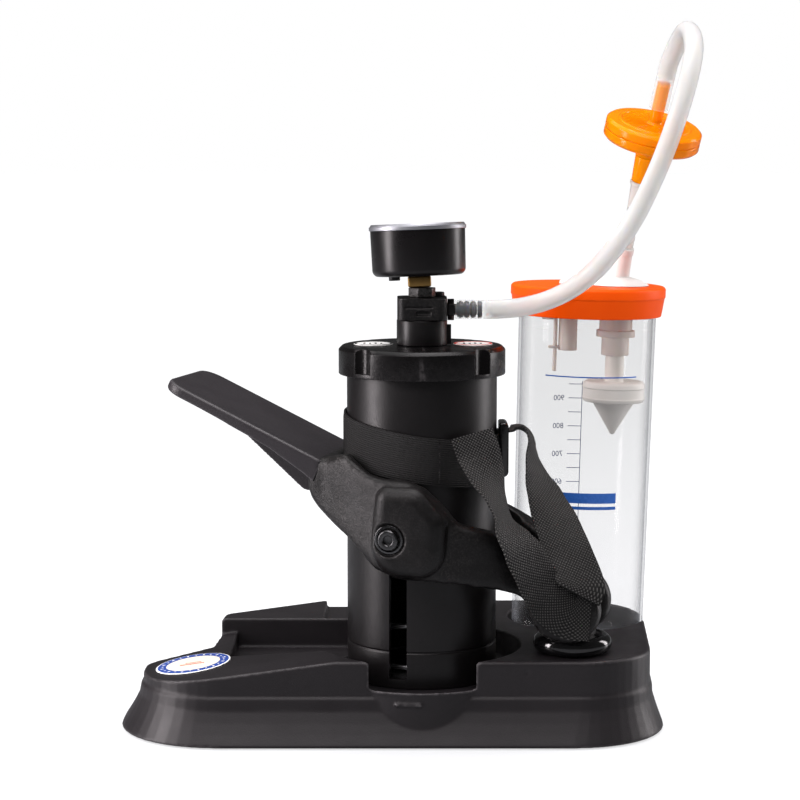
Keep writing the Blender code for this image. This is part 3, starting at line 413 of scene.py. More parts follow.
def make_materials():
    made = {
        "tray": moulded(
            "tray_abs", (0.0085, 0.007, 0.0082), (0.0116, 0.0096, 0.0112), (0.4, 0.52), 1500, 0.0001,
            cloud=14, wear_and_highlight=(0.075, 0.069, 0.073), specular=0.33,
        ),
        "barrel": moulded(
            "barrel_abs", (0.003, 0.0023, 0.0026), (0.0044, 0.0035, 0.0039), (0.34, 0.44), 1300, 0.00008,
            cloud=25, specular=0.3,
        ),
        # The cap's pale edges are a painted highlight of its glossy rims.
        "cap": moulded(
            "cap_abs", (0.0015, 0.0012, 0.0013), (0.0026, 0.0021, 0.0023), (0.22, 0.34), 1100, 0.00015,
            cloud=22, wear_and_highlight=(0.035, 0.032, 0.033), specular=0.17,
        ),
        "gauge_black": moulded(
            "gauge_case_black", (0.003, 0.0024, 0.0027), (0.0044, 0.0036, 0.004), (0.26, 0.34), 1600,
            0.00006, cloud=20, specular=0.26,
        ),
        "pedal": moulded(
            "pedal_moulding", (0.0145, 0.0122, 0.0145), (0.019, 0.0162, 0.019), (0.38, 0.5), 900, 0.00022,
            cloud=16, wear_and_highlight=(0.1, 0.093, 0.098), specular=0.4,
        ),
        "cast": cast("cast_black"),
        "gloss": moulded(
            "bumper_rubber", (0.002, 0.002, 0.0022), (0.0035, 0.0034, 0.0037), (0.08, 0.18), 500, 0.0001,
            cloud=40, specular=0.5,
        ),
        "rubber": moulded(
            "foot_rubber", (0.008, 0.008, 0.008), (0.014, 0.014, 0.014), (0.7, 0.85), 900, 0.0002
        ),
        "webbing": webbing("webbing_weave"),
        "belt": webbing("belt_weave", 2.0, (0.0085, 0.0078, 0.0076), (0.0016, 0.0015, 0.0015), True),
        "jar": thin_wall("jar_clear", (0.14, 0.145, 0.15), (0.3, 0.32, 0.36)),
        "lens": clear("lens_clear", (0.97, 0.98, 0.98), (0.02, 0.05), 1.0),
        "orange": moulded(
            "lid_orange", (0.85, 0.07, 0.0002), (0.9, 0.088, 0.0004), (0.36, 0.48), 700, 0.00006,
            cloud=20, specular=0.08,
        ),
        "white": moulded(
            "white_plastic", (0.6, 0.59, 0.57), (0.68, 0.67, 0.65), (0.35, 0.48), 900, 0.00008, cloud=30
        ),
        "float": moulded(
            "float_ivory", (0.86, 0.82, 0.76), (0.92, 0.88, 0.83), (0.4, 0.52), 900, 0.00012, cloud=30
        ),
        "pink": clear(
            "cage_plastic", (0.95, 0.84, 0.78), (0.35, 0.5), 0.2, edge=(0.84, 0.68, 0.6), ior=1.3,
            specular=0.3, subsurface=0.3,
        ),
        "frosted": clear(
            "frosted_plastic", (0.74, 0.72, 0.69), (0.25, 0.4), 0.55, edge=(0.46, 0.45, 0.44), ior=1.3,
            specular=0.4, subsurface=0.3,
        ),
        "amber": clear(
            "amber_plastic", (1.0, 0.36, 0.001), (0.1, 0.2), 0.5, edge=(0.88, 0.19, 0.0), ior=1.25,
            specular=0.16, subsurface=0.3,
        ),
        "silicone": milky_hose("milky_silicone"),
        "brass": metal("stem_brass", (0.20, 0.115, 0.035), (0.32, 0.20, 0.07), (0.32, 0.48)),
        "steel": metal("bright_steel", (0.22, 0.22, 0.225), (0.36, 0.36, 0.365), (0.3, 0.45)),
        "dark_steel": metal("bolt_black", (0.05, 0.05, 0.052), (0.11, 0.11, 0.112), (0.2, 0.32)),
        "bezel": metal(
            "bezel_grey", (0.3, 0.31, 0.335), (0.38, 0.39, 0.415), (0.42, 0.5), (0.2, 0.2, 6.0)
        ),
        "dial": printed("dial_face", (0.86, 0.86, 0.84)),
        "ink_black": printed("ink_black", (0.01, 0.01, 0.012)),
        "ink_blue": printed("ink_blue", (0.012, 0.1, 0.42)),
        "ink_navy": printed("ink_navy", (0.12, 0.15, 0.32)),
        "ink_barb": moulded(
            "barb_black", (0.006, 0.008, 0.02), (0.01, 0.013, 0.03), (0.3, 0.4), 900, 0.0001
        ),
        "ink_red": printed("ink_red", (0.6, 0.03, 0.02)),
        "label": printed("label_white", (0.82, 0.82, 0.8), 0.3),
        "label_blue": printed("label_blue", (0.015, 0.05, 0.26), 0.3),
        "label_cream": printed("label_cream", (0.72, 0.66, 0.54), 0.3),
        "paper": printed("membrane_paper", (0.85, 0.8, 0.7), 0.8),
    }
    LOOKS.update({name: look.material for name, look in made.items()})


# ---------------------------------------------------------------- mesh tools, in millimetres


def piece(name, mesh, look, where=PUMP, stands_for=None, body=TRAY, smooth=35):
    """Puts a mesh made in millimetres in its frame, in metres, and lets it ride on a body."""
    mesh.transform(Matrix.Scale(MM, 4) @ where)
    mesh.name = name
    if smooth:
        mesh.shade_smooth()
        mesh.set_sharp_from_angle(angle=math.radians(smooth))
    obj = bpy.data.objects.new(name, mesh)
    bpy.context.scene.collection.objects.link(obj)
    mesh.materials.clear()
    mesh.materials.append(LOOKS[look])
    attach(obj, body)
    if stands_for:
        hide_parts(stands_for)
    return obj


def as_mesh(shape):
    mesh = bpy.data.meshes.new("shape")
    shape.to_mesh(mesh)
    shape.free()
    return mesh


def softened(profile, radius, steps=3):
    """A profile of (radius, height) points with its corners rounded. One that starts on the axis is open."""
    closed = profile[0][0] > 0
    count = len(profile)
    out = []
    for i, point in enumerate(profile):
        if not closed and i in (0, count - 1):
            out.append(tuple(point))
            continue
        corner, before, after = Vector(point), Vector(profile[i - 1]), Vector(profile[(i + 1) % count])
        reach = min(radius, (before - corner).length * 0.45, (after - corner).length * 0.45)
        start = corner + (before - corner).normalized() * reach
        end = corner + (after - corner).normalized() * reach
        for step in range(steps + 1):
            t = step / steps
            out.append(tuple(start * (1 - t) ** 2 + corner * 2 * t * (1 - t) + end * t * t))
    return out


def lathe(profile, segments=96, rounding=0.4):
    """A mesh turned about Z. The profile runs down the outer side."""
    if rounding:
        profile = softened(profile, rounding)
    shape = bmesh.new()
    rows = []
    for radius, height in profile:
        if radius < 1e-6:
            rows.append([shape.verts.new((0, 0, height))])
            continue
        angles = [2 * math.pi * i / segments for i in range(segments)]
        rows.append(
            [shape.verts.new((radius * math.cos(a), radius * math.sin(a), height)) for a in angles]
        )
    pairs = list(zip(rows, rows[1:]))
    if profile[0][0] > 1e-6:
        pairs.append((rows[-1], rows[0]))
    for upper, lower in pairs:
        for i in range(segments):
            j = (i + 1) % segments
            loop = [
                upper[i % len(upper)], lower[i % len(lower)], lower[j % len(lower)],
                upper[j % len(upper)],
            ]
            corners = [v for k, v in enumerate(loop) if v is not loop[k - 1]]
            if len(corners) > 2:
                shape.faces.new(corners)
    bmesh.ops.recalc_face_normals(shape, faces=shape.faces)
    return as_mesh(shape)


def disc(radius, low, high, segments=48, rounding=0.0, at=(0, 0)):
    mesh = lathe(((0, high), (radius, high), (radius, low), (0, low)), segments, rounding)
    return placed(mesh, moved(*at, 0))


def block(low, high):
    shape = bmesh.new()
    size = [b - a for a, b in zip(low, high)]
    middle = [(a + b) / 2 for a, b in zip(low, high)]
    bmesh.ops.create_cube(
        shape, size=1.0, matrix=Matrix.Translation(middle) @ Matrix.Diagonal((*size, 1))
    )
    return as_mesh(shape)


def band(shape, low, high):
    """Faces all the way round between two rings of vertices."""
    count = len(low)
    for i in range(count):
        j = (i + 1) % count
        shape.faces.new((low[i], low[j], high[j], high[i]))


def loft(rings):
    """A solid through rings of points, closed at both ends."""
    shape = bmesh.new()
    rows = [[shape.verts.new(point) for point in ring] for ring in rings]
    shape.faces.new(reversed(rows[0]))
    shape.faces.new(rows[-1])
    for low, high in zip(rows, rows[1:]):
        band(shape, low, high)
    return as_mesh(shape)


def prism(outline, low, high):
    return loft([[(x, y, z) for x, y in outline] for z in (low, high)])


def side_prism(outline, near, far=None):
    """An outline in X and Z, from y = near to y = far, or to as much on the other side."""
    return loft([[(x, y, z) for x, z in outline] for y in (near, -near if far is None else far)])


def mirrored(mesh):
    """The same solid on the other side, at -y."""
    mesh.transform(Matrix.Diagonal((1, -1, 1, 1)))
    mesh.flip_normals()
    return mesh


def arc(centre, radius, start, end, steps):
    angles = [math.radians(start + (end - start) * i / steps) for i in range(steps + 1)]
    return [(centre[0] + radius * math.cos(a), centre[1] + radius * math.sin(a)) for a in angles]


def hexagon(radius, start=0):
    return arc((0, 0), radius, start, start + 300, 5)


def rounded(corners, inset=0.0, steps=12):
    """The outline of a polygon whose corners are (x, y, radius), anticlockwise, moved inwards by inset."""
    points = []
    for i, (x, y, radius) in enumerate(corners):
        corner = Vector((x, y))
        before = (corner - Vector(corners[i - 1][:2])).normalized()
        after = (Vector(corners[(i + 1) % len(corners)][:2]) - corner).normalized()
        turn = math.atan2(before.x * after.y - before.y * after.x, before.dot(after))
        signed = math.copysign(radius, turn)
        tangent = corner - before * radius * abs(math.tan(turn / 2))
        centre = tangent + Vector((-before.y, before.x)) * signed
        heading = math.atan2(before.y, before.x)
        for step in range(steps + 1):
            angle = heading + turn * step / steps
            inward = Vector((-math.sin(angle), math.cos(angle)))
            points.append(tuple(centre - inward * (signed - inset)))
    return points


def shaped(mesh, *steps):
    """The mesh after modifiers: ("cut"|"join"|"meet", mesh) or ("MODIFIER", settings)."""
    obj = bpy.data.objects.new("work", mesh)
    bpy.context.scene.collection.objects.link(obj)
    tools = []
    for kind, value in steps:
        if kind in ("cut", "join", "meet"):
            tool = bpy.data.objects.new("tool", value)
            bpy.context.scene.collection.objects.link(tool)
            tools.append(tool)
            modifier = obj.modifiers.new("step", "BOOLEAN")
            modifier.operation = {"cut": "DIFFERENCE", "join": "UNION", "meet": "INTERSECT"}[kind]
            modifier.object = tool
        else:
            modifier = obj.modifiers.new("step", kind)
            for key, setting in value.items():
                setattr(modifier, key, setting)
    bpy.context.view_layer.update()
    graph = bpy.context.evaluated_depsgraph_get()
    made = bpy.data.meshes.new_from_object(obj.evaluated_get(graph))
    for helper in (obj, *tools):
        bpy.data.objects.remove(helper)
    return made


def placed(mesh, matrix):
    mesh.transform(matrix)
    return mesh


def joined(*meshes):
    """Several meshes as one, without a Boolean."""
    shape = bmesh.new()
    for mesh in meshes:
        shape.from_mesh(mesh)
    return as_mesh(shape)


def bevelled(width, segments=2, angle=35):
    settings = {
        "width": width,
        "segments": segments,
        "limit_method": "ANGLE",
        "angle_limit": math.radians(angle),
        "use_clamp_overlap": True,
    }
    return ("BEVEL", settings)


def melted(voxel, passes, keep):
    """Steps that round every edge of a solid, as a moulding or a casting has them."""
    return (
        ("REMESH", {"mode": "VOXEL", "voxel_size": voxel}),
        ("SMOOTH", {"factor": 0.5, "iterations": passes}),
        ("DECIMATE", {"ratio": keep}),
    )


def smooth_path(points, spacing):
    """Points a given distance apart on a smooth curve through a route's own points."""
    stops = [Vector(p) for p in points]
    ends = [2 * stops[0] - stops[1]] + stops + [2 * stops[-1] - stops[-2]]
    fine = []
    for i in range(1, len(ends) - 2):
        a, b, c, d = ends[i - 1 : i + 3]
        for step in range(20):
            t = step / 20
            bend = (2 * a - 5 * b + 4 * c - d) * t**2 + (3 * b - a - 3 * c + d) * t**3
            fine.append(0.5 * ((2 * b) + (c - a) * t + bend))
    fine.append(stops[-1])
    length = sum((q - p).length for p, q in zip(fine, fine[1:]))
    count = max(1, round(length / spacing))
    route = [fine[0]]
    walked = 0.0
    for p, q in zip(fine, fine[1:]):
        walked += (q - p).length
        if walked >= length * len(route) / count and len(route) < count:
            route.append(q)
    route.append(fine[-1])
    return route


def frames_along(path):
    """Two directions across a path at each of its points, without twist."""
    ahead = [
        (path[min(i + 1, len(path) - 1)] - path[max(i - 1, 0)]).normalized()
        for i in range(len(path))
    ]
    side = ahead[0].orthogonal().normalized()
    out = []
    for i, direction in enumerate(ahead):
        if i:
            side = (ahead[i - 1].rotation_difference(direction) @ side).normalized()
        side = (side - direction * side.dot(direction)).normalized()
        out.append((side, direction.cross(side)))
    return out


def pipe(path, radii, segments=32, bore=None):
    """A tube along a path. radii is one radius or one a point; a bore makes it hollow."""
    radii = radii if isinstance(radii, (list, tuple)) else [radii] * len(path)
    shape = bmesh.new()
    frames = frames_along(path)
    angles = [2 * math.pi * i / segments for i in range(segments)]

    def rows(sizes):
        return [
            [shape.verts.new(p + (u * math.cos(a) + v * math.sin(a)) * r) for a in angles]
            for p, (u, v), r in zip(path, frames, sizes)
        ]

    outer = rows(radii)
    skins = [outer]
    if bore:
        skins.append(rows([r - (radii[0] - bore) for r in radii]))
    for skin in skins:
        for low, high in zip(skin, skin[1:]):
            band(shape, low, high)
    if bore:
        for end in (0, -1):
            band(shape, outer[end], skins[1][end])
    else:
        shape.faces.new(outer[0])
        shape.faces.new(outer[-1])
    bmesh.ops.recalc_face_normals(shape, faces=shape.faces)
    return as_mesh(shape)


def tape(stations, width, thick, spacing=1.5, across=12):
    """Webbing through stations of (centre, direction of its width), with its UV map in millimetres."""
    centres = smooth_path([c for c, _ in stations], spacing)
    lengths = [0.0]
    for p, q in zip(stations, stations[1:]):
        lengths.append(lengths[-1] + (Vector(q[0]) - Vector(p[0])).length)
    total = lengths[-1]
    rows = []
    run = 0.0
    for i, centre in enumerate(centres):
        if i:
            run += (centre - centres[i - 1]).length
        at = total * i / (len(centres) - 1)
        k = max(j for j in range(len(lengths) - 1) if lengths[j] <= at + 1e-6)
        t = (at - lengths[k]) / (lengths[k + 1] - lengths[k])
        t = t * t * (3 - 2 * t) * 0.5 + t * 0.5
        side = Vector(stations[k][1]).normalized().lerp(Vector(stations[k + 1][1]).normalized(), t)
        ahead = (centres[min(i + 1, len(centres) - 1)] - centres[max(i - 1, 0)]).normalized()
        side = (side - ahead * side.dot(ahead)).normalized()
        out = ahead.cross(side)
        rows.append((centre, side, out, run))
    shape = bmesh.new()
    uv = shape.loops.layers.uv.new("weave")
    spread = [-1 + 2 * j / across for j in range(across + 1)]
    ring = [(x, -1) for x in spread] + [(x, 1) for x in reversed(spread)]
    ring = [(x, y * (0.62 if abs(x) > 0.999 else 1.0)) for x, y in ring]
    grid = []
    for centre, side, out, run in rows:
        ends = [centre + side * x * width / 2 + out * (y * thick / 2) for x, y in ring]
        grid.append(([shape.verts.new(end) for end in ends], run))
    count = len(ring)
    for (low, start), (high, end) in zip(grid, grid[1:]):
        for i in range(count):
            j = (i + 1) % count
            face = shape.faces.new((low[i], low[j], high[j], high[i]))
            corners = ((ring[i][0], start), (ring[j][0], start), (ring[j][0], end), (ring[i][0], end))
            for loop, (x, run) in zip(face.loops, corners):
                loop[uv].uv = (x * width / 2, run)
    shape.faces.new(reversed(grid[0][0]))
    shape.faces.new(grid[-1][0])
    bmesh.ops.recalc_face_normals(shape, faces=shape.faces)
    return as_mesh(shape)


def words(text, size):
    """Flat numerals, 0.1 mm thick, centred, as a mesh in the XY plane."""
    curve = bpy.data.curves.new("words", "FONT")
    curve.body = text
    curve.size = size
    curve.align_x = "CENTER"
    curve.align_y = "CENTER"
    curve.extrude = 0.05
    curve.resolution_u = 3
    obj = bpy.data.objects.new("words", curve)
    bpy.context.scene.collection.objects.link(obj)
    bpy.context.view_layer.update()
    mesh = bpy.data.meshes.new_from_object(obj.evaluated_get(bpy.context.evaluated_depsgraph_get()))
    bpy.data.objects.remove(obj)
    return mesh


# ---------------------------------------------------------------- base tray

DECK_Z, FLOOR_Z, STEP_Z, RIM_Z, WALL = 50.0, 31.0, 28.0, 0.8, 3.0
RECESS_R, CUP_R, RAIL_Y, CHANNEL_LEFT = 61.0, 60.5, 68.0, -118.0
SOCKET, SOCKET_R = (100.5, 79.0), 44.0
UPPER_CORNERS = (
    (-172, -53, 50), (137, -53, 45), (147.5, 128, 47), (-62, 128, 10), (-127, 84, 8), (-131, 36, 6),
    (-170, 15, 14),
)
LOWER_CORNERS = (
    (-186, -67, 64), (148.5, -67, 60), (150, 141, 52), (-66, 141, 14), (-140, 92, 14),
    (-145, 48, 8), (-185, 28, 20),
)
BARREL_SCREWS = arc((0, 0), 30, 90, 330, 2)
FEET = ((-150, -8, 33), (100, -42, 48), (-50, 108, 44), (122, 108, 30))
BELOW, ABOVE = -10, 80


def tray_ring(z, inset):
    upper = rounded(UPPER_CORNERS, inset)
    if z >= STEP_Z:
        return [(x, y, z) for x, y in upper]
    lower = rounded(LOWER_CORNERS, inset)
    flare = ((STEP_Z - z) / STEP_Z) ** 1.25
    return [
        (ux + (lx - ux) * flare, uy + (ly - uy) * flare, z)
        for (ux, uy), (lx, ly) in zip(upper, lower)
    ]


def make_tray():
    heights = ((RIM_Z, 0.8), (1.8, 0), (8, 0), (14, 0), (21, 0), (STEP_Z - 0.6, -1.3), (STEP_Z + 0.9, 0))
    rings = [tray_ring(z, inset) for z, inset in heights]
    rings += [tray_ring(DECK_Z - 1.4, 0), tray_ring(DECK_Z, 1.4)]
    nose = ((-220, 34), (-166, 34), (-44, 51), (-44, 70), (-220, 70))
    channel = ((CHANNEL_LEFT, 2.4), (-30, -28), (-30, RAIL_Y), (CHANNEL_LEFT, RAIL_Y))
    under_channel = (
        (CHANNEL_LEFT - 3, -0.6), (-30, -31), (-30, RAIL_Y + 3), (CHANNEL_LEFT - 3, RAIL_Y + 3)
    )
    under_nose = ((-220, 31), (-166, 31), (-44, 48), (-44, 70), (-220, 70))
    inner = [tray_ring(z, WALL) for z in (-5, 8, 14, 21)] + [
        [(x, y, STEP_Z) for x, y in rounded(UPPER_CORNERS, WALL)]
    ]
    post = (POST_X, POST_Y)
    dimple = lathe(((0, 6), (4.6, 6), (2.6, 0.2), (0, -0.9)), 32, 0.5)
    space = shaped(
        prism(rounded(UPPER_CORNERS, 3.4), 24, DECK_Z - WALL),
        ("cut", disc(RECESS_R + WALL, BELOW, ABOVE, 64)),
        ("cut", disc(SOCKET_R + WALL, BELOW, ABOVE, 64, at=SOCKET)),
        ("cut", prism(under_channel, 0, ABOVE)),
        ("cut", side_prism(under_nose, 71, -90)),
        ("cut", block((-65, RAIL_Y - 3, 42.5), (-17, 150, ABOVE))),
        ("cut", disc(12, BELOW, ABOVE, 24, at=post)),
    )
    steps = [
        ("join", disc(CUP_R, 4, FLOOR_Z + 2, 96)),
        ("cut", side_prism(nose, RAIL_Y, -90)),
        ("cut", prism(channel, FLOOR_Z, ABOVE)),
        ("cut", block((-62, RAIL_Y + 2, 45.5), (-20, 150, ABOVE))),
        ("cut", disc(RECESS_R, FLOOR_Z, ABOVE, 96)),
        ("cut", disc(SOCKET_R, FLOOR_Z + 0.5, ABOVE, 96, at=SOCKET)),
        ("cut", placed(dimple, moved(62, -53, 43.5) @ turned("X", 90))),
        ("cut", loft(inner)),
        ("cut", space),
        ("cut", disc(8, 20, ABOVE, 32, at=post)),
    ]
    for x, y in BARREL_SCREWS:
        steps.append(("cut", disc(2.4, 20, 40, 16, at=(x, y))))
    for x, y, roof in FEET:
        steps.append(("join", disc(8, 6.4, roof, 24, at=(x, y))))
    # A raised line runs round the cup under its lip, and a short bar sits on its front.
    high, low = FLOOR_Z + 2, FLOOR_Z + 0.4
    steps.append(("join", lathe(((59, high), (61.1, high), (61.1, low), (59, low)), 96, 0.3)))
    bar = shaped(block((-8, -1.2, -0.9), (8, 0.9, 0.9)), bevelled(0.6, 2))
    steps.append(("join", placed(bar, turned("Z", -8) @ moved(0, -CUP_R, 25.5))))
    solid = shaped(loft(rings), *steps)
    soft = shaped(solid, *melted(0.95, 4, 0.32))
    piece("tray_moulding", soft, "tray", stands_for="base_shell", smooth=60)


# ---------------------------------------------------------------- pump

BARREL_R, BORE_R, BARREL_TOP = 45.5, 41.0, 228.0
CAP_R, CAP_Z, CAP_NOTCH_Z = 50.5, (216.5, 233.5), 219.0
PIN_REACH, PIN_Z, PIN_R = -3.0, 125.0, 5.0
HOSE_Z = 255.0
BLOCK_Z = (249.3, 262.5)


def make_barrel():
    low = FLOOR_Z + 0.3
    profile = (
        (0, low + 3.5), (BORE_R, low + 3.5), (BORE_R, BARREL_TOP), (BARREL_R, BARREL_TOP),
        (BARREL_R, 54.2), (BARREL_R - 0.5, 53.6), (BARREL_R - 0.5, 53.0), (BARREL_R, 52.4),
        (BARREL_R, low), (0, low),
    )
    slot = placed(block((PIN_REACH - 5.5, -60, 37), (PIN_REACH + 5.5, 60, 136)), turned("Z", -LEVER_TURN))
    steps = [("cut", slot)]
    for x, y in BARREL_SCREWS:
        steps.append(("cut", disc(2.2, 20, 40, 16, at=(x, y))))
    steps.append(bevelled(0.7, 2))
    piece("barrel_tube", shaped(lathe(profile, 128, 0.25), *steps), "barrel", stands_for="pump_barrel")


def make_cap():
    low, high = CAP_Z
    profile = (
        (8.3, high), (CAP_R - 2.2, high), (CAP_R, high - 2.2), (CAP_R, low), (BARREL_R + 0.5, low),
        (BARREL_R + 0.5, BARREL_TOP + 1.4), (8.3, BARREL_TOP + 1.4),
    )
    steps = []
    for notch in arc((0, 0), CAP_R + 5, 45, 315, 3):
        steps.append(("cut", disc(8.5, CAP_NOTCH_Z, 240, 40, at=notch)))
    steps.append(bevelled(0.6, 2))
    piece("cap_moulding", shaped(lathe(profile, 128, 0.5), *steps), "cap", stands_for="pump_cap")
    for side, x in (("left", -29.5), ("right", 31)):
        where = PUMP @ moved(x, 5, high + 0.15)
        face = lathe(((0, 0.4), (11.5, 0.4), (11.9, 0.1), (11.9, 0), (0, 0)), 64, 0)
        piece(f"cap_label_{side}_face", face, "label", where, stands_for=f"cap_label_{side}")
        rim = lathe(((11.7, 0.46), (11.7, 0.38), (10.2, 0.38), (10.2, 0.46)), 64, 0)
        piece(f"cap_label_{side}_rim", rim, "ink_red" if side == "right" else "ink_black", where)
        bars = joined(
            *(block((-6 + 3.4 * i, -4, 0.38), (-4.8 + 3.4 * i, 4 - 2 * (i % 2), 0.44)) for i in range(4))
        )
        piece(f"cap_label_{side}_bars", bars, "ink_black", where, smooth=0)


def make_valves():
    low, high = CAP_Z[1] + 0.3, BLOCK_Z[0] - 0.3
    ledge = high - 2.5
    profile = (
        (15.3, high), (15.3, low), (8, low), (8, 224), (2.5, 224), (2.5, ledge), (6.5, ledge),
        (6.5, high),
    )
    slot = block((-6.3, -1.2, ledge - 3), (6.3, 1.2, ledge + 1))
    rib = block((14.2, -1.6, low + 0.4), (17.6, 1.6, high - 3))
    turret = shaped(lathe(profile, 96, 0.5), ("cut", slot), ("join", rib), bevelled(0.4, 2))
    piece("turret_moulding", turret, "barrel", stands_for="valve_turret")
    half, corner = 15, 5
    corners = [(x * half, y * half, corner) for x, y in ((-1, -1), (1, -1), (1, 1), (-1, 1))]
    lug = disc(4.2, BLOCK_Z[1] - 1.5, BLOCK_Z[1] + 2.6, 32, at=(9.5, 8.5))
    upright = placed(disc(4.7, -40, 40, 24), moved(0, 0, 255))
    steps = [
        ("join", lug),
        ("cut", upright),
        ("cut", placed(disc(4.3, 8, 20, 24), moved(0, 0, HOSE_Z) @ LYING)),
        ("cut", placed(disc(2.5, 0, 10, 16), moved(0, 0, HOSE_Z) @ LYING)),
        ("cut", block((-10.5, -17, 256.4), (6.5, -14.2, 257.6))),
        ("cut", block((-4.0, -17, 252.2), (5.5, -13.6, 255.0))),
    ]
    block_mesh = shaped(prism(rounded(corners, 0, 6), *BLOCK_Z), *steps, *melted(0.5, 3, 0.5))
    piece("manifold_casting", block_mesh, "cast", stands_for="manifold_block", smooth=60)
    profile = [(1.6, 33.2), (3.2, 33.2)]
    for root in (29, 25, 21):
        profile += [(4.6, root + 0.4), (3.4, root)]
    profile += [(3.4, 19.4), (4.6, 19.4), (4.6, 15.3), (4.0, 15.3), (4.0, 8.6), (1.6, 8.6)]
    nut = shaped(prism(hexagon(6.6), 15.35, 19.4), ("cut", disc(4.2, 0, 30, 32)), bevelled(0.35, 2))
    barb = joined(lathe(profile, 48, 0.15), nut)
    piece(
        "barb_turning", barb, "gauge_black", PUMP @ moved(0, 0, HOSE_Z) @ LYING, stands_for="hose_barb",
    )
    nut = shaped(
        prism(hexagon(8.6, 15), 262.8, 268.3), ("join", disc(4.3, 258.5, 263, 32)), bevelled(0.5, 2)
    )
    piece("gauge_nut_hex", nut, "cast", stands_for="gauge_nut")


def coil(turns, radius, low, high, wire):
    """The spring's centreline: a dead coil at each end, and open coils between."""
    dead, pitch = 0.75, wire * 1.1
    steps = 40
    total = round((2 * dead + turns) * steps)
    points = []
    for i in range(total + 1):
        at = i / steps
        lower = min(at, dead) * pitch
        upper = max(at - dead - turns, 0) * pitch
        run = min(max((at - dead) / turns, 0), 1) * (high - low - 2 * dead * pitch)
        angle = 2 * math.pi * at + math.radians(60)
        points.append(
            Vector((radius * math.cos(angle), radius * math.sin(angle), low + lower + run + upper))
        )
    return points


def make_spring():
    mesh = pipe(coil(2.15, 30.0, 38.9, 112.1, 3.2), 1.6, 16)
    spring = piece("spring_coil", mesh, "steel", stands_for="return_spring", smooth=50)
    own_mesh(spring)


# ---------------------------------------------------------------- lever


def from_fulcrum(reach, height):
    return (reach - FULCRUM_REACH, height - FULCRUM_Z)


def pedal_top(reach):
    return 161.5 + (-43.8 - reach) * math.tan(math.radians(PEDAL_SLOPE))


def yoke_side():
    lower = [(-62, 149), (-59.5, 142.5), (-54, 136), (-45, 129), (-34, 122.5), (-25, 115), (-14, 105.5)]
    lower += [(3, 100.5), (20, 100.5), (37, 98), (58, 94), (70, 89)]
    points = [from_fulcrum(*p) for p in lower]
    points += arc((0, 0), 19.5, 190, 430, 24)
    upper = [(86, 104.5), (72, 117), (58, 124.5), (44, 129.5), (33, 133), (26, 143.5)]
    upper += [
        (17, 152), (6, 157.5), (-9, 158), (-20, 160.5), (-36, 170.5), (-47, 167),
        (-62, pedal_top(-62) - 5.4),
    ]
    return points + [from_fulcrum(*p) for p in upper]


def yoke_plan():
    hole, gap, face = 49.0, 12.0, 22.8
    front = [(-62, -34), (-50, -37), (-36, -45.5), (-24, -51.5), (-13, -57), (0, -60.5), (17, -61)]
    front += [(28, -58.5), (36, -54), (44, -51), (58, -43.5), (76, -29.5), (92, -face), (116, -face)]
    inner = [(116, -gap), (75, -gap), (64, -20)]
    inner += arc((10, 0), hole, -38, -86, 8) + arc((0, 0), hole, -90, -174, 14)
    half = front + inner
    outline = half + [(-hole, 0)] + [(x, -y) for x, y in reversed(half)]
    return [(x - FULCRUM_REACH, y) for x, y in outline]


# The plane of the bolts' seats, from the middle of the yoke.
SEAT_Y = 65.2


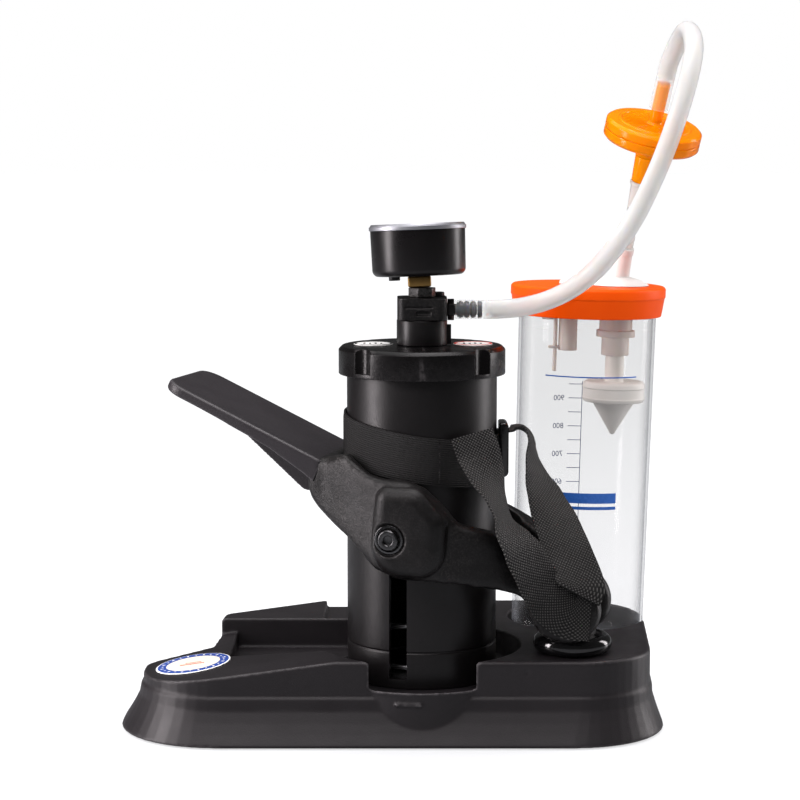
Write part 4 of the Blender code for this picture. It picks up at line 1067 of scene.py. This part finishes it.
def make_yoke():
    """A casting: broad soft forms, then the lobes, the crease, the bolts' seats and what is cut away."""
    x, z = from_fulcrum(PIN_REACH, PIN_Z)
    slide = math.atan2(-z, -x)
    form = shaped(
        side_prism(yoke_side(), 70),
        ("meet", prism(yoke_plan(), -60, 120)),
        ("REMESH", {"mode": "VOXEL", "voxel_size": 1.6}),
        ("SMOOTH", {"factor": 0.5, "iterations": 26}),
        ("DISPLACE", {"strength": 1.0, "mid_level": 0.0}),
    )
    across = turned("X", 90)
    steps = []
    outline = arc((10.6, 0), PIN_R + 1.8, -90, 90, 12) + arc((-0.6, 0), PIN_R + 1.8, 90, 270, 12)
    crease = ((-9, 160), (-12.5, 154), (-15.5, 146), (-15.5, 140), (-11.5, 134.5))
    corners = ((-14, -22, 19), (32, -24, 17), (34, 12, 12), (17, 31, 13), (-9, 31, 9))
    layers = ((67.8, 8), (66.8, 4.8), (65, 2.2), (62.5, 0.6), (59, 0), (50, 0))
    for side in (-1, 1):
        lobe = loft([[(u, v, w) for u, w in rounded(corners, inset, 8)] for v, inset in layers])
        lobe.transform(moved(x, 0, z))
        steps.append(("join", lobe if side > 0 else mirrored(lobe)))
    for side in (-1, 1):
        pocket = side_prism(outline, 58, 40)
        pocket.transform(Matrix.Rotation(-slide, 4, "Y"))
        pocket.transform(moved(x, 0, z))
        steps.append(("cut", pocket if side > 0 else mirrored(pocket)))
        groove = [(u, side * 61, w) for u, w in (from_fulcrum(*p) for p in crease)]
        steps.append(("cut", pipe(smooth_path(groove, 1.0), 2.3, 12)))
        bolt = moved(x, 0, z) @ turned("X", -90 * side)
        steps.append(("join", placed(disc(10.2, 56, SEAT_Y, 48, 1.2), bolt)))
        steps.append(("cut", placed(disc(9.9, SEAT_Y, 80), bolt)))
    for degrees in (10, 20, 29.5):
        tilt = turned("Y", degrees)
        steps.append(
            ("cut", placed(disc(47, -160, 260, 96), tilt @ moved(-FULCRUM_REACH, 0, -FULCRUM_Z)))
        )
    steps.append(("cut", placed(disc(3.2, -80, 80, 24), moved(x, 0, z) @ across)))
    steps.append(("cut", placed(disc(4.3, -40, 40, 32), across)))
    steps.append(("cut", block((-30, -11.9, -40), (30, 11.9, 18))))
    mesh = shaped(form, *steps, *melted(0.8, 3, 0.4))
    piece("yoke_casting", mesh, "cast", LEVER, "lever_yoke", "lever", smooth=80)
    for name, side in (("front", -1), ("rear", 1)):
        head = ((0, 65.8), (2.7, 65.8), (2.7, 68.4), (3.4, 69.0), (5.4, 69.0), (6.1, 68.3), (6.1, 65.3))
        head += ((2.8, SEAT_Y), (2.8, 59), (0, 59))
        where = LEVER @ moved(x, 0, z) @ turned("X", -90 * side)
        piece(
            f"pivot_bolt_{name}_head", lathe(head, 48, 0.3), "dark_steel", where, f"pivot_bolt_{name}",
            "lever",
        )
        washer = lathe(((8.4, 66.0), (9.2, SEAT_Y), (6.6, SEAT_Y), (7.2, 66.2)), 48, 0.2)
        piece(f"pivot_washer_{name}", washer, "dark_steel", where, body="lever")


def make_pedal():
    """The pedal: a slab with turned-down sides that deepen towards the yoke, and a rib under it."""
    inner, length, half = -56.0, 106.0, 37.0
    corners = ((-length, -half, 13), (5, -half, 4), (5, half, 4), (-length, half, 13))
    layers = ((-6.4, 1.4), (-5.6, 0.3), (-4.6, 0), (-1.8, 0), (-0.8, 0.3), (-0.2, 0.9), (0, 1.8))
    plate = loft([[(x, y, z) for x, y in rounded(corners, inset, 8)] for z, inset in layers])
    x, z = from_fulcrum(inner, pedal_top(inner))
    slope = LEVER @ moved(x, 0, z) @ turned("Y", PEDAL_SLOPE)
    rib = ((-78, -5), (-4, -27), (3, -25), (3, -5))
    flange = ((-100, -5), (-30, -8), (-4, -12), (4, -14), (4, -5))
    steps = [("join", side_prism(rib, 15))]
    for y in (-half + 1.8, half - 1.8):
        steps.append(("join", placed(side_prism(flange, 1.8), moved(0, y, 0))))
    mesh = shaped(plate, *steps, *melted(0.75, 3, 0.45))
    piece("pedal_moulding", mesh, "pedal", slope, "pedal_plate", "lever", smooth=60)


def make_post():
    profile = ((0, 94), (14, 94), (14, 58), (14, 50.4), (7.6, 50.3), (7.6, 40), (0, 40))
    steps = []
    for low, high in ((-20, -11.6), (11.6, 20)):
        steps.append(("cut", block((-20, low, 59), (20, high, 100))))
    steps.append(("cut", placed(disc(4.3, -30, 30, 32), moved(0, 0, FULCRUM_Z) @ turned("X", 90))))
    mesh = shaped(lathe(profile, 64, 0.8), *steps, bevelled(0.8, 3))
    piece("post_casting", mesh, "cast", POST, stands_for="fulcrum_post")
    rim = arc((18.2, DECK_Z + 5.9), 5.6, 112, -75, 18)
    rim = [(14.3, DECK_Z + 11.8)] + rim + [(14.3, DECK_Z + 0.3)]
    piece("bumper_ring", lathe(rim, 96, 0), "gloss", POST, stands_for="post_bumper", smooth=60)


# ---------------------------------------------------------------- gauge

GAUGE_R, GAUGE_LOW, GAUGE_HIGH = 28.7, 7.3, 36.0


def make_gauge():
    stem = shaped(block((-7, -7, 0.3), (7, 7, GAUGE_LOW - 0.3)), bevelled(1.2, 3))
    piece("stem_brass", stem, "brass", GAUGE, stands_for="gauge_stem")
    case = (
        (0, GAUGE_LOW + 2), (GAUGE_R - 3, GAUGE_LOW + 2), (GAUGE_R - 2, GAUGE_HIGH),
        (GAUGE_R, GAUGE_HIGH), (GAUGE_R - 0.5, GAUGE_LOW + 2.4), (GAUGE_R - 2.6, GAUGE_LOW),
        (0, GAUGE_LOW),
    )
    spigot = disc(3.4, GAUGE_LOW - 2.6, GAUGE_LOW + 1, 32, 0.4, at=(-15, -3))
    piece(
        "gauge_housing", joined(lathe(case, 128, 1.4), spigot), "gauge_black", GAUGE,
        stands_for="gauge_case",
    )
    rim = [(-0.6, 2.6), (0.1, 1.5), (0.1, 1.3), (0.7, 1.1), (0.7, -1.0), (0.05, -1.2), (0.05, 0.2)]
    rim = [(GAUGE_R + out, GAUGE_HIGH + rise) for out, rise in rim]
    rim = [(24.6, GAUGE_HIGH + 2.6), *rim, (25.4, GAUGE_HIGH + 0.2)]
    piece("bezel_ring", lathe(rim, 160, 0.15), "bezel", GAUGE, stands_for="gauge_bezel")
    lens = [(0, 1.0), (12, 0.7), (25.2, -0.3), (25.2, -2), (0, -2)]
    lens = lathe([(radius, GAUGE_HIGH + rise) for radius, rise in lens], 96, 0.3)
    piece("lens_dome", lens, "lens", GAUGE, stands_for="gauge_lens")
    face = GAUGE_HIGH - 7.9
    dial = lathe(((1.5, face), (25.4, face), (25.4, face - 0.6), (1.5, face - 0.6)), 96, 0)
    piece("dial_face", dial, "dial", GAUGE, stands_for="gauge_dial")
    ticks = []
    for i in range(41):
        start, half = (20.8, 0.1) if i % 5 else (19.2, 0.22)
        tick = block((start, -half, face), (23.2, half, face + 0.06))
        ticks.append(placed(tick, turned("Z", 225 - 270 * i / 40)))
    for i in range(9):
        angle = math.radians(225 - 270 * i / 8)
        number = words(str(i * 10), 3.4)
        ticks.append(placed(number, moved(16.0 * math.cos(angle), 16.0 * math.sin(angle), face + 0.05)))
    piece("dial_print", joined(*ticks), "ink_black", GAUGE, smooth=0)


# ---------------------------------------------------------------- jar, lid and float

JAR_TOP, JAR_R = 226.0, (42.3, 43.8)
LID_Z, LID_R = (212.8, LID_TOP), (46.8, 49.3)


def jar_radius(z):
    low, high = JAR_R
    return low + (high - low) * (z - 3) / (JAR_TOP - 3)


def wrapped(mesh, z):
    """A flat mesh in XY bent round the jar: X runs round it and Y up it, and X = 0 faces the user."""
    for vertex in mesh.vertices:
        x, y, out = vertex.co
        wall = jar_radius(z + y)
        radius, angle = wall + 0.08 + out, x / wall - math.pi / 2
        vertex.co = (radius * math.cos(angle), radius * math.sin(angle), z + y)
    return mesh


def make_jar():
    profile = (
        (0, 2.6), (20, 3.4), (39.0, 4.0), (40.6, 7), (42.1, JAR_TOP), (JAR_R[1], JAR_TOP),
        (JAR_R[0], 4.5), (39.8, 0.3), (36.5, 0.3), (35.5, 1.4), (0, 1.0),
    )
    mesh = lathe(profile, 160, 0.8)
    piece("jar_wall", mesh, "jar", JAR, stands_for="collection_jar", smooth=40)
    # The scale is on the far wall, so its numerals are seen from behind.
    marks = []
    for i in range(18):
        level = 163.0 - 9.3 * i
        volume = 950 - 50 * i
        marks.append(wrapped(block((0, -0.22, -0.04), (8.9, 0.22, 0.04)), level))
        if volume % 100 == 0:
            marks.append(wrapped(placed(words(str(volume), 5.2), moved(15.6, 0, 0)), level))
    for k in range(40):
        marks.append(wrapped(block((-0.2, 4 * k, -0.04), (0.25, 4 * k + 4.0, 0.04)), 4.9))
    scale = joined(*marks)
    scale.transform(turned("Z", 177.3))
    piece("jar_scale_print", scale, "ink_navy", JAR, smooth=0)
    # Each bar is a row of short blocks, so that it can bend round the jar.
    bars = []
    for start, count, low, high in ((-30, 31, -0.4, 0.4), (-17, 18, -79.5, -73), (-17, 18, -83.5, -81.5)):
        for k in range(count):
            bars.append(block((start + 2 * k, low, -0.04), (start + 2 * k + 2, high, 0.04)))
    piece("jar_front_print", wrapped(joined(*bars), 176.5), "ink_blue", JAR, smooth=0)


def make_lid():
    low, high = LID_Z
    bottom, top = LID_R
    inside = JAR_R[1] + 0.6
    profile = (
        (0, high), (top - 8.5, high), (top - 8.2, high - 0.35), (top - 7.6, high - 0.35),
        (top - 7.3, high), (top - 1.2, high), (top, high - 1.4), (top, high - 6.6),
        (top - 0.5, high - 7.3), (bottom + 0.2, low + 0.4), (bottom - 0.2, low), (inside, low),
        (inside, JAR_TOP + 1.6), (0, JAR_TOP + 1.6),
    )
    steps = [
        ("cut", disc(4.4, 200, 250, 32, at=(PORT_X, 0))),
        ("cut", disc(3.4, 200, 250, 32, at=(INLET_X, 0))),
        bevelled(0.3, 2, 50),
    ]
    piece("lid_moulding", shaped(lathe(profile, 160, 0.5), *steps), "orange", JAR, stands_for="jar_lid")


def make_float():
    under = JAR_TOP + 1.3
    port = JAR @ moved(PORT_X, 0, 0)
    cage = (
        (10.5, under), (10.5, 203), (12.3, 203), (12.3, 198.8), (8.75, 198.8), (8.75, 187), (6.4, 187)
    )
    cage += ((6.4, 206.5), (4.5, 206.5), (4.5, 216.2), (6.3, 216.2), (6.3, under))
    piece("cage_moulding", lathe(cage, 64, 0.4), "pink", port, stands_for="float_cage")
    body = ((0, 219), (5.8, 219), (5.8, 216.5), (3.9, 216.5), (3.9, 198), (6, 198), (6, 170))
    body += (
        (18, 170.4), (19.6, 169.2), (20.1, 166.4), (19.6, 165.9), (19.8, 160.2), (20.1, 159.6),
        (19.2, 157.2),
    )
    body += ((13.4, 156.6), (2.4, 138), (1.8, 136.4), (0, 135.6))
    piece("float_moulding", lathe(body, 96, 0.6), "float", port, "shutoff_float", "shutoff_float")
    inlet = JAR @ moved(INLET_X, 0, 0)
    tube = lathe(((5.7, under), (6.0, 189.5), (3.2, 189.5), (3.2, under)), 64, 0.4)
    rod = disc(1.3, 176, under, 24, 0.3, at=(-8.2, -2))
    clip = shaped(block((-17, -5, 209), (-9.6, -1, under)), bevelled(0.8, 2))
    bridge = shaped(block((-12.5, -3.4, 190.6), (-5, -0.6, 192.4)), bevelled(0.5, 2))
    piece("inlet_moulding", joined(tube, rod, clip, bridge), "pink", inlet, stands_for="inlet_tube")
    high = LID_TOP
    plug = (
        (0, high + 2.6), (6.2, high + 2.6), (6.8, high + 0.3), (3.0, high + 0.3), (3.0, high - 3),
        (0, high - 3),
    )
    piece("plug_moulding", lathe(plug, 64, 0.4), "white", inlet, stands_for="inlet_plug")


FILTER_R, FILTER_Z, PORT_TIP = 30.0, (96.4, 109.4), 136.0


def make_filter():
    top = LID_TOP
    dome = [(0, 6), (8, 5.6), (14, 4), (18.5, 1.8), (20.5, 0.3), (0, 0.3)]
    dome = lathe([(radius, top + rise) for radius, rise in dome], 96, 0.8)
    neck = lathe(((0, 26.4), (3.4, 26.4), (5.4, 26.2), (5.4, 22), (5, 21.8), (6.6, 3), (0, 3)), 64, 0.2)
    port_mesh = shaped(dome, ("join", placed(neck, moved(0, 0, top) @ PORT_TURN)))
    piece("port_moulding", port_mesh, "white", JAR @ moved(PORT_X, 0, 0), stands_for="lid_port")
    sleeve = lathe(((0, 87.7), (7.4, 87.7), (6.4, 71), (0, 71)), 64, 0.4)
    piece("filter_neck", sleeve, "amber", PORT)
    taper = [(0, 70.9), (6.9, 70.9), (6.9, 68.8)]
    taper += [(6.1, 68.4), (3.7, 35), (4.3, 34.4), (4.3, 31.6), (3.9, 31.3), (3.9, 30.2)]
    taper += [(4.3, 29.9), (4.1, 26.8), (0, 26.8)]
    piece("adaptor_moulding", lathe(taper, 64, 0.25), "frosted", PORT, stands_for="taper_adaptor")
    low, high = FILTER_Z
    middle = (low + high) / 2
    lower = (
        (0, low + 1.8), (28, low + 1.8), (28, middle - 0.15), (FILTER_R - 0.2, middle - 0.15),
        (FILTER_R, middle - 0.8), (FILTER_R, low + 1.8), (FILTER_R - 1.8, low), (10.5, low),
        (8.6, low - 1.2), (7.6, 88), (0, 88),
    )
    piece("filter_shell_lower", lathe(lower, 128, 0.35), "amber", PORT, stands_for="filter_lower_shell")
    upper = [
        (0, PORT_TIP), (3.9, PORT_TIP), (3.9, high + 1.2), (5.2, high), (20.6, high), (21, high + 0.7)
    ]
    upper += [(22.4, high + 0.7), (22.8, high), (FILTER_R - 1.8, high), (FILTER_R, high - 1.6)]
    upper += [(FILTER_R, middle + 0.8), (FILTER_R - 0.2, middle + 0.15)]
    upper += [(28, middle + 0.15), (28, high - 1.8), (0, high - 1.8)]
    ribs = []
    for i in range(36):
        rib = block((6.5, -0.22, high - 0.2), (20, 0.22, high + 0.35))
        ribs.append(placed(rib, turned("Z", 10 * i)))
    shell = joined(lathe(upper, 128, 0.3), *ribs)
    piece("filter_shell_upper", shell, "amber", PORT, stands_for="filter_upper_shell")


# ---------------------------------------------------------------- webbing

WEB_WIDTH, WEB_THICK = 28.0, 1.6
FRONT_LEG = (
    ((29, -43, 185), (0.9, 0.42, 0.05)),
    ((32.5, -45.5, 175), (0.85, 0.42, 0.25)),
    ((37, -49, 163), (0.6, 0.68, 0.4)),
    ((42.5, -52, 149), (0.3, 0.92, 0.28)),
    ((47.5, -55, 136), (0.2, 0.95, 0.2)),
    ((54, -60, 125), (0.35, 0.8, 0.48)),
    ((60.5, -61.5, 114), (0.38, 0.5, 0.78)),
    ((67, -59, 101), (0.3, 0.3, 0.9)),
    ((75, -55, 88), (0.15, 0.1, 0.98)),
    ((86, -52.5, 78), (-0.25, 0, 0.97)),
    ((99, -52.6, 76.5), (-0.4, 0.05, 0.9)),
)
REAR_LEG = (
    ((91.5, -56, 91), (0.88, -0.05, -0.47)),
    ((93.5, -53, 97), (0.97, 0.0, -0.22)),
    ((87, -43.5, 113), (1.0, 0.0, -0.05)),
    ((80, -32, 130), (0.98, 0.1, -0.12)),
    ((74, -19.5, 146), (0.82, 0.55, -0.2)),
    ((69.5, -10, 160), (0.4, 0.9, -0.1)),
    ((67.4, -2, 172), (0.1, 0.99, 0.0)),
    ((65, 3, 178.5), (0.0, 1.0, 0.0)),
    ((60, 6, 182), (0.0, 1.0, 0.0)),
    ((53.6, 7, 181.5), (0.0, 1.0, 0.0)),
)


def make_belt():
    """The belt goes once round the barrel, a little tilted, its end stitched down at the front."""
    radius, top = 46.2, 187.0
    shape = bmesh.new()
    uv = shape.loops.layers.uv.new("weave")
    section = [(True, i * WEB_WIDTH / 8) for i in range(9)]
    section += [(False, WEB_WIDTH - i * WEB_WIDTH / 8) for i in range(9)]
    count = 144
    rows = []
    for i in range(count):
        angle = 2 * math.pi * i / count
        row = []
        for outside, rise in section:
            edge = min(rise, WEB_WIDTH - rise)
            bulge = WEB_THICK * (1.0 if edge > 1 else 0.75) if outside else 0.0
            r = radius + bulge
            row.append(
                shape.verts.new((r * math.cos(angle), r * math.sin(angle), top - WEB_WIDTH + rise))
            )
        rows.append(row)
    size = len(section)
    for i in range(count):
        low, high = rows[i], rows[(i + 1) % count]
        for j in range(size):
            k = (j + 1) % size
            face = shape.faces.new((low[j], high[j], high[k], low[k]))
            run = 2 * math.pi * (radius + 1) / count
            for loop, (a, b) in zip(face.loops, ((i, j), (i + 1, j), (i + 1, k), (i, k))):
                loop[uv].uv = (section[b][1], a * run)
    bmesh.ops.recalc_face_normals(shape, faces=shape.faces)
    fall = Matrix.Identity(4)
    fall[2][0], fall[2][1] = -0.137, 0.079
    belt = as_mesh(shape)
    belt.transform(fall)
    piece("belt_webbing", belt, "belt", stands_for="strap_belt", smooth=50)
    stitches = []
    for i in range(9):
        stitch = block((-0.25, -0.3, 2 + i * 2.9), (0.35, 0.3, 4.2 + i * 2.9))
        place = turned("Z", -78) @ moved(radius + WEB_THICK, 0, top - WEB_WIDTH)
        stitches.append(placed(stitch, fall @ place))
    piece("belt_stitching", joined(*stitches), "cap", smooth=0)


def make_straps():
    make_belt()
    corners = ((46.6, 154, 1.5), (52.4, 154, 3.4), (52.4, 187, 2.6), (46.6, 187, 1.5))
    tab = side_prism(rounded(corners, 0, 6), 11)
    piece(
        "belt_keeper", shaped(tab, bevelled(0.9, 3)), "gloss", stands_for="belt_loop",
        smooth=50,
    )
    for side, stations in (("front", FRONT_LEG), ("rear", REAR_LEG)):
        leg = tape(stations, WEB_WIDTH, WEB_THICK)
        piece(f"{side}_webbing", leg, "webbing", stands_for=f"strap_{side}_leg", smooth=50)


# ---------------------------------------------------------------- label and hose


def make_nose_label():
    slope = math.atan2(17, 122)
    where = PUMP @ moved(-140, -6, 34 + 26 * math.tan(slope)) @ Matrix.Rotation(-slope, 4, "Y")
    where = where @ Matrix.Diagonal((1, 1.06, 1, 1))
    base = lathe(((0, 0.5), (22.7, 0.5), (23, 0.35), (23, 0.15), (0, 0.15)), 96, 0)
    piece("label_base", base, "label", where, stands_for="nose_label")
    band = lathe(((22.0, 0.58), (22.0, 0.48), (16.6, 0.48), (16.6, 0.58)), 96, 0)
    piece("label_ring", band, "label_blue", where)
    centre = lathe(((0, 0.56), (16.6, 0.56), (16.6, 0.48), (0, 0.48)), 96, 0)
    piece("label_centre", centre, "label_cream", where)
    dots = []
    for i in range(24):
        reach = 2.0 if i % 2 else 1.1
        dots.append(placed(block((18.4, -0.5, 0.56), (18.4 + reach, 0.5, 0.62)), turned("Z", 15 * i)))
    piece("label_ring_marks", joined(*dots), "label", where, smooth=0)
    bars = joined(block((-8, -2.6, 0.55), (7, -1.0, 0.62)), block((-5, 1.0, 0.55), (5, 2.2, 0.62)))
    piece("label_red_mark", bars, "ink_red", where, smooth=0)


HOSE_R, HOSE_BORE, HOSE_STEP = 5.7, 3.6, 1.6
HOSE_ROUTE = (
    (47, -1.8, 255.3), (60, -7, 257), (74, -16, 261.4), (88, -25, 269), (101, -32, 280),
    (113, -38, 295), (123.5, -42, 312), (132, -44.5, 330), (139.5, -45.5, 348), (145.9, -45, 366),
    (151.2, -43.5, 383), (155.2, -39.5, 397.5), (157.9, -31, 409.3), (158.3, -19, 417.6),
    (157.4, -5.2, 421.2), (156.4, 9, 420), (154.4, 21.9, 413.8), (151.4, 31.6, 404.2),
)


def make_hose():
    """One hose from the barb to the filter's port, its ends pushed over both."""
    into_pump = PUMP.inverted() @ PORT
    ends = [into_pump @ Vector((0, 0, z)) for z in (PORT_TIP + 5, PORT_TIP, PORT_TIP - 8, PORT_TIP - 17)]
    points = [(20, 0, HOSE_Z), (29, 0, HOSE_Z), (38, 0, HOSE_Z), *HOSE_ROUTE, *ends]
    path = smooth_path(points, HOSE_STEP)
    ridges = []
    for at in (22.6, 26.4, 30.2, 34.0):
        ridge = lathe(((4.6, at + 2.3), (5.15, at + 0.2), (5.15, at), (4.6, at - 0.4)), 48, 0.15)
        ridges.append(placed(ridge, moved(0, 0, HOSE_Z) @ LYING))
    piece("barb_ridges", joined(*ridges), "ink_barb")
    count = len(path)
    radii = []
    for i in range(count):
        over_barb = max(0.0, 1 - abs(i * HOSE_STEP - 7) / 9)
        over_port = max(0.0, 1 - abs((count - 1 - i) * HOSE_STEP - 8) / 12)
        radii.append(HOSE_R + 0.25 * over_barb + 0.2 * over_port)
    mesh = pipe(path, radii, 48, HOSE_BORE)
    hose = piece("hose_tube", mesh, "silicone", stands_for="suction_hose", smooth=60)
    line = [tuple((PUMP @ p) * MM) for p in (*path[::4], path[-1])]
    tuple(line[0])


# ---------------------------------------------------------------- CAD nodes that are shown as they are

CARRIED = {
    "rubber": (*(f"rubber_foot_{i}" for i in range(1, 5)), "cap_gasket", "inlet_valve_disc"),
    "steel": (*(f"barrel_screw_{i}" for i in range(1, 4)), "piston_rod", "crosshead_pin", "spring_seat"),
    "dark_steel": ("fulcrum_pin", "post_screw"),
    "barrel": ("piston_head", "crosshead"),
    "gloss": ("piston_seal", "piston_valve_ring", "lid_gasket"),
    "brass": ("bourdon_tube",),
    "ink_red": ("gauge_needle",),
    "paper": ("filter_membrane",),
}


def dress_carried_nodes():
    for look, names in CARRIED.items():
        for name in names:
            obj = NODES[name]
            obj.data = obj.data.copy()
            obj.data.materials.clear()
            obj.data.materials.append(LOOKS[look])


def main():
    make_camera()
    make_materials()
    make_studio()
    make_hose()
    make_tray()
    make_barrel()
    make_cap()
    make_valves()
    make_spring()
    make_yoke()
    make_pedal()
    make_post()
    make_gauge()
    make_jar()
    make_lid()
    make_float()
    make_filter()
    make_straps()
    make_nose_label()
    dress_carried_nodes()


main()
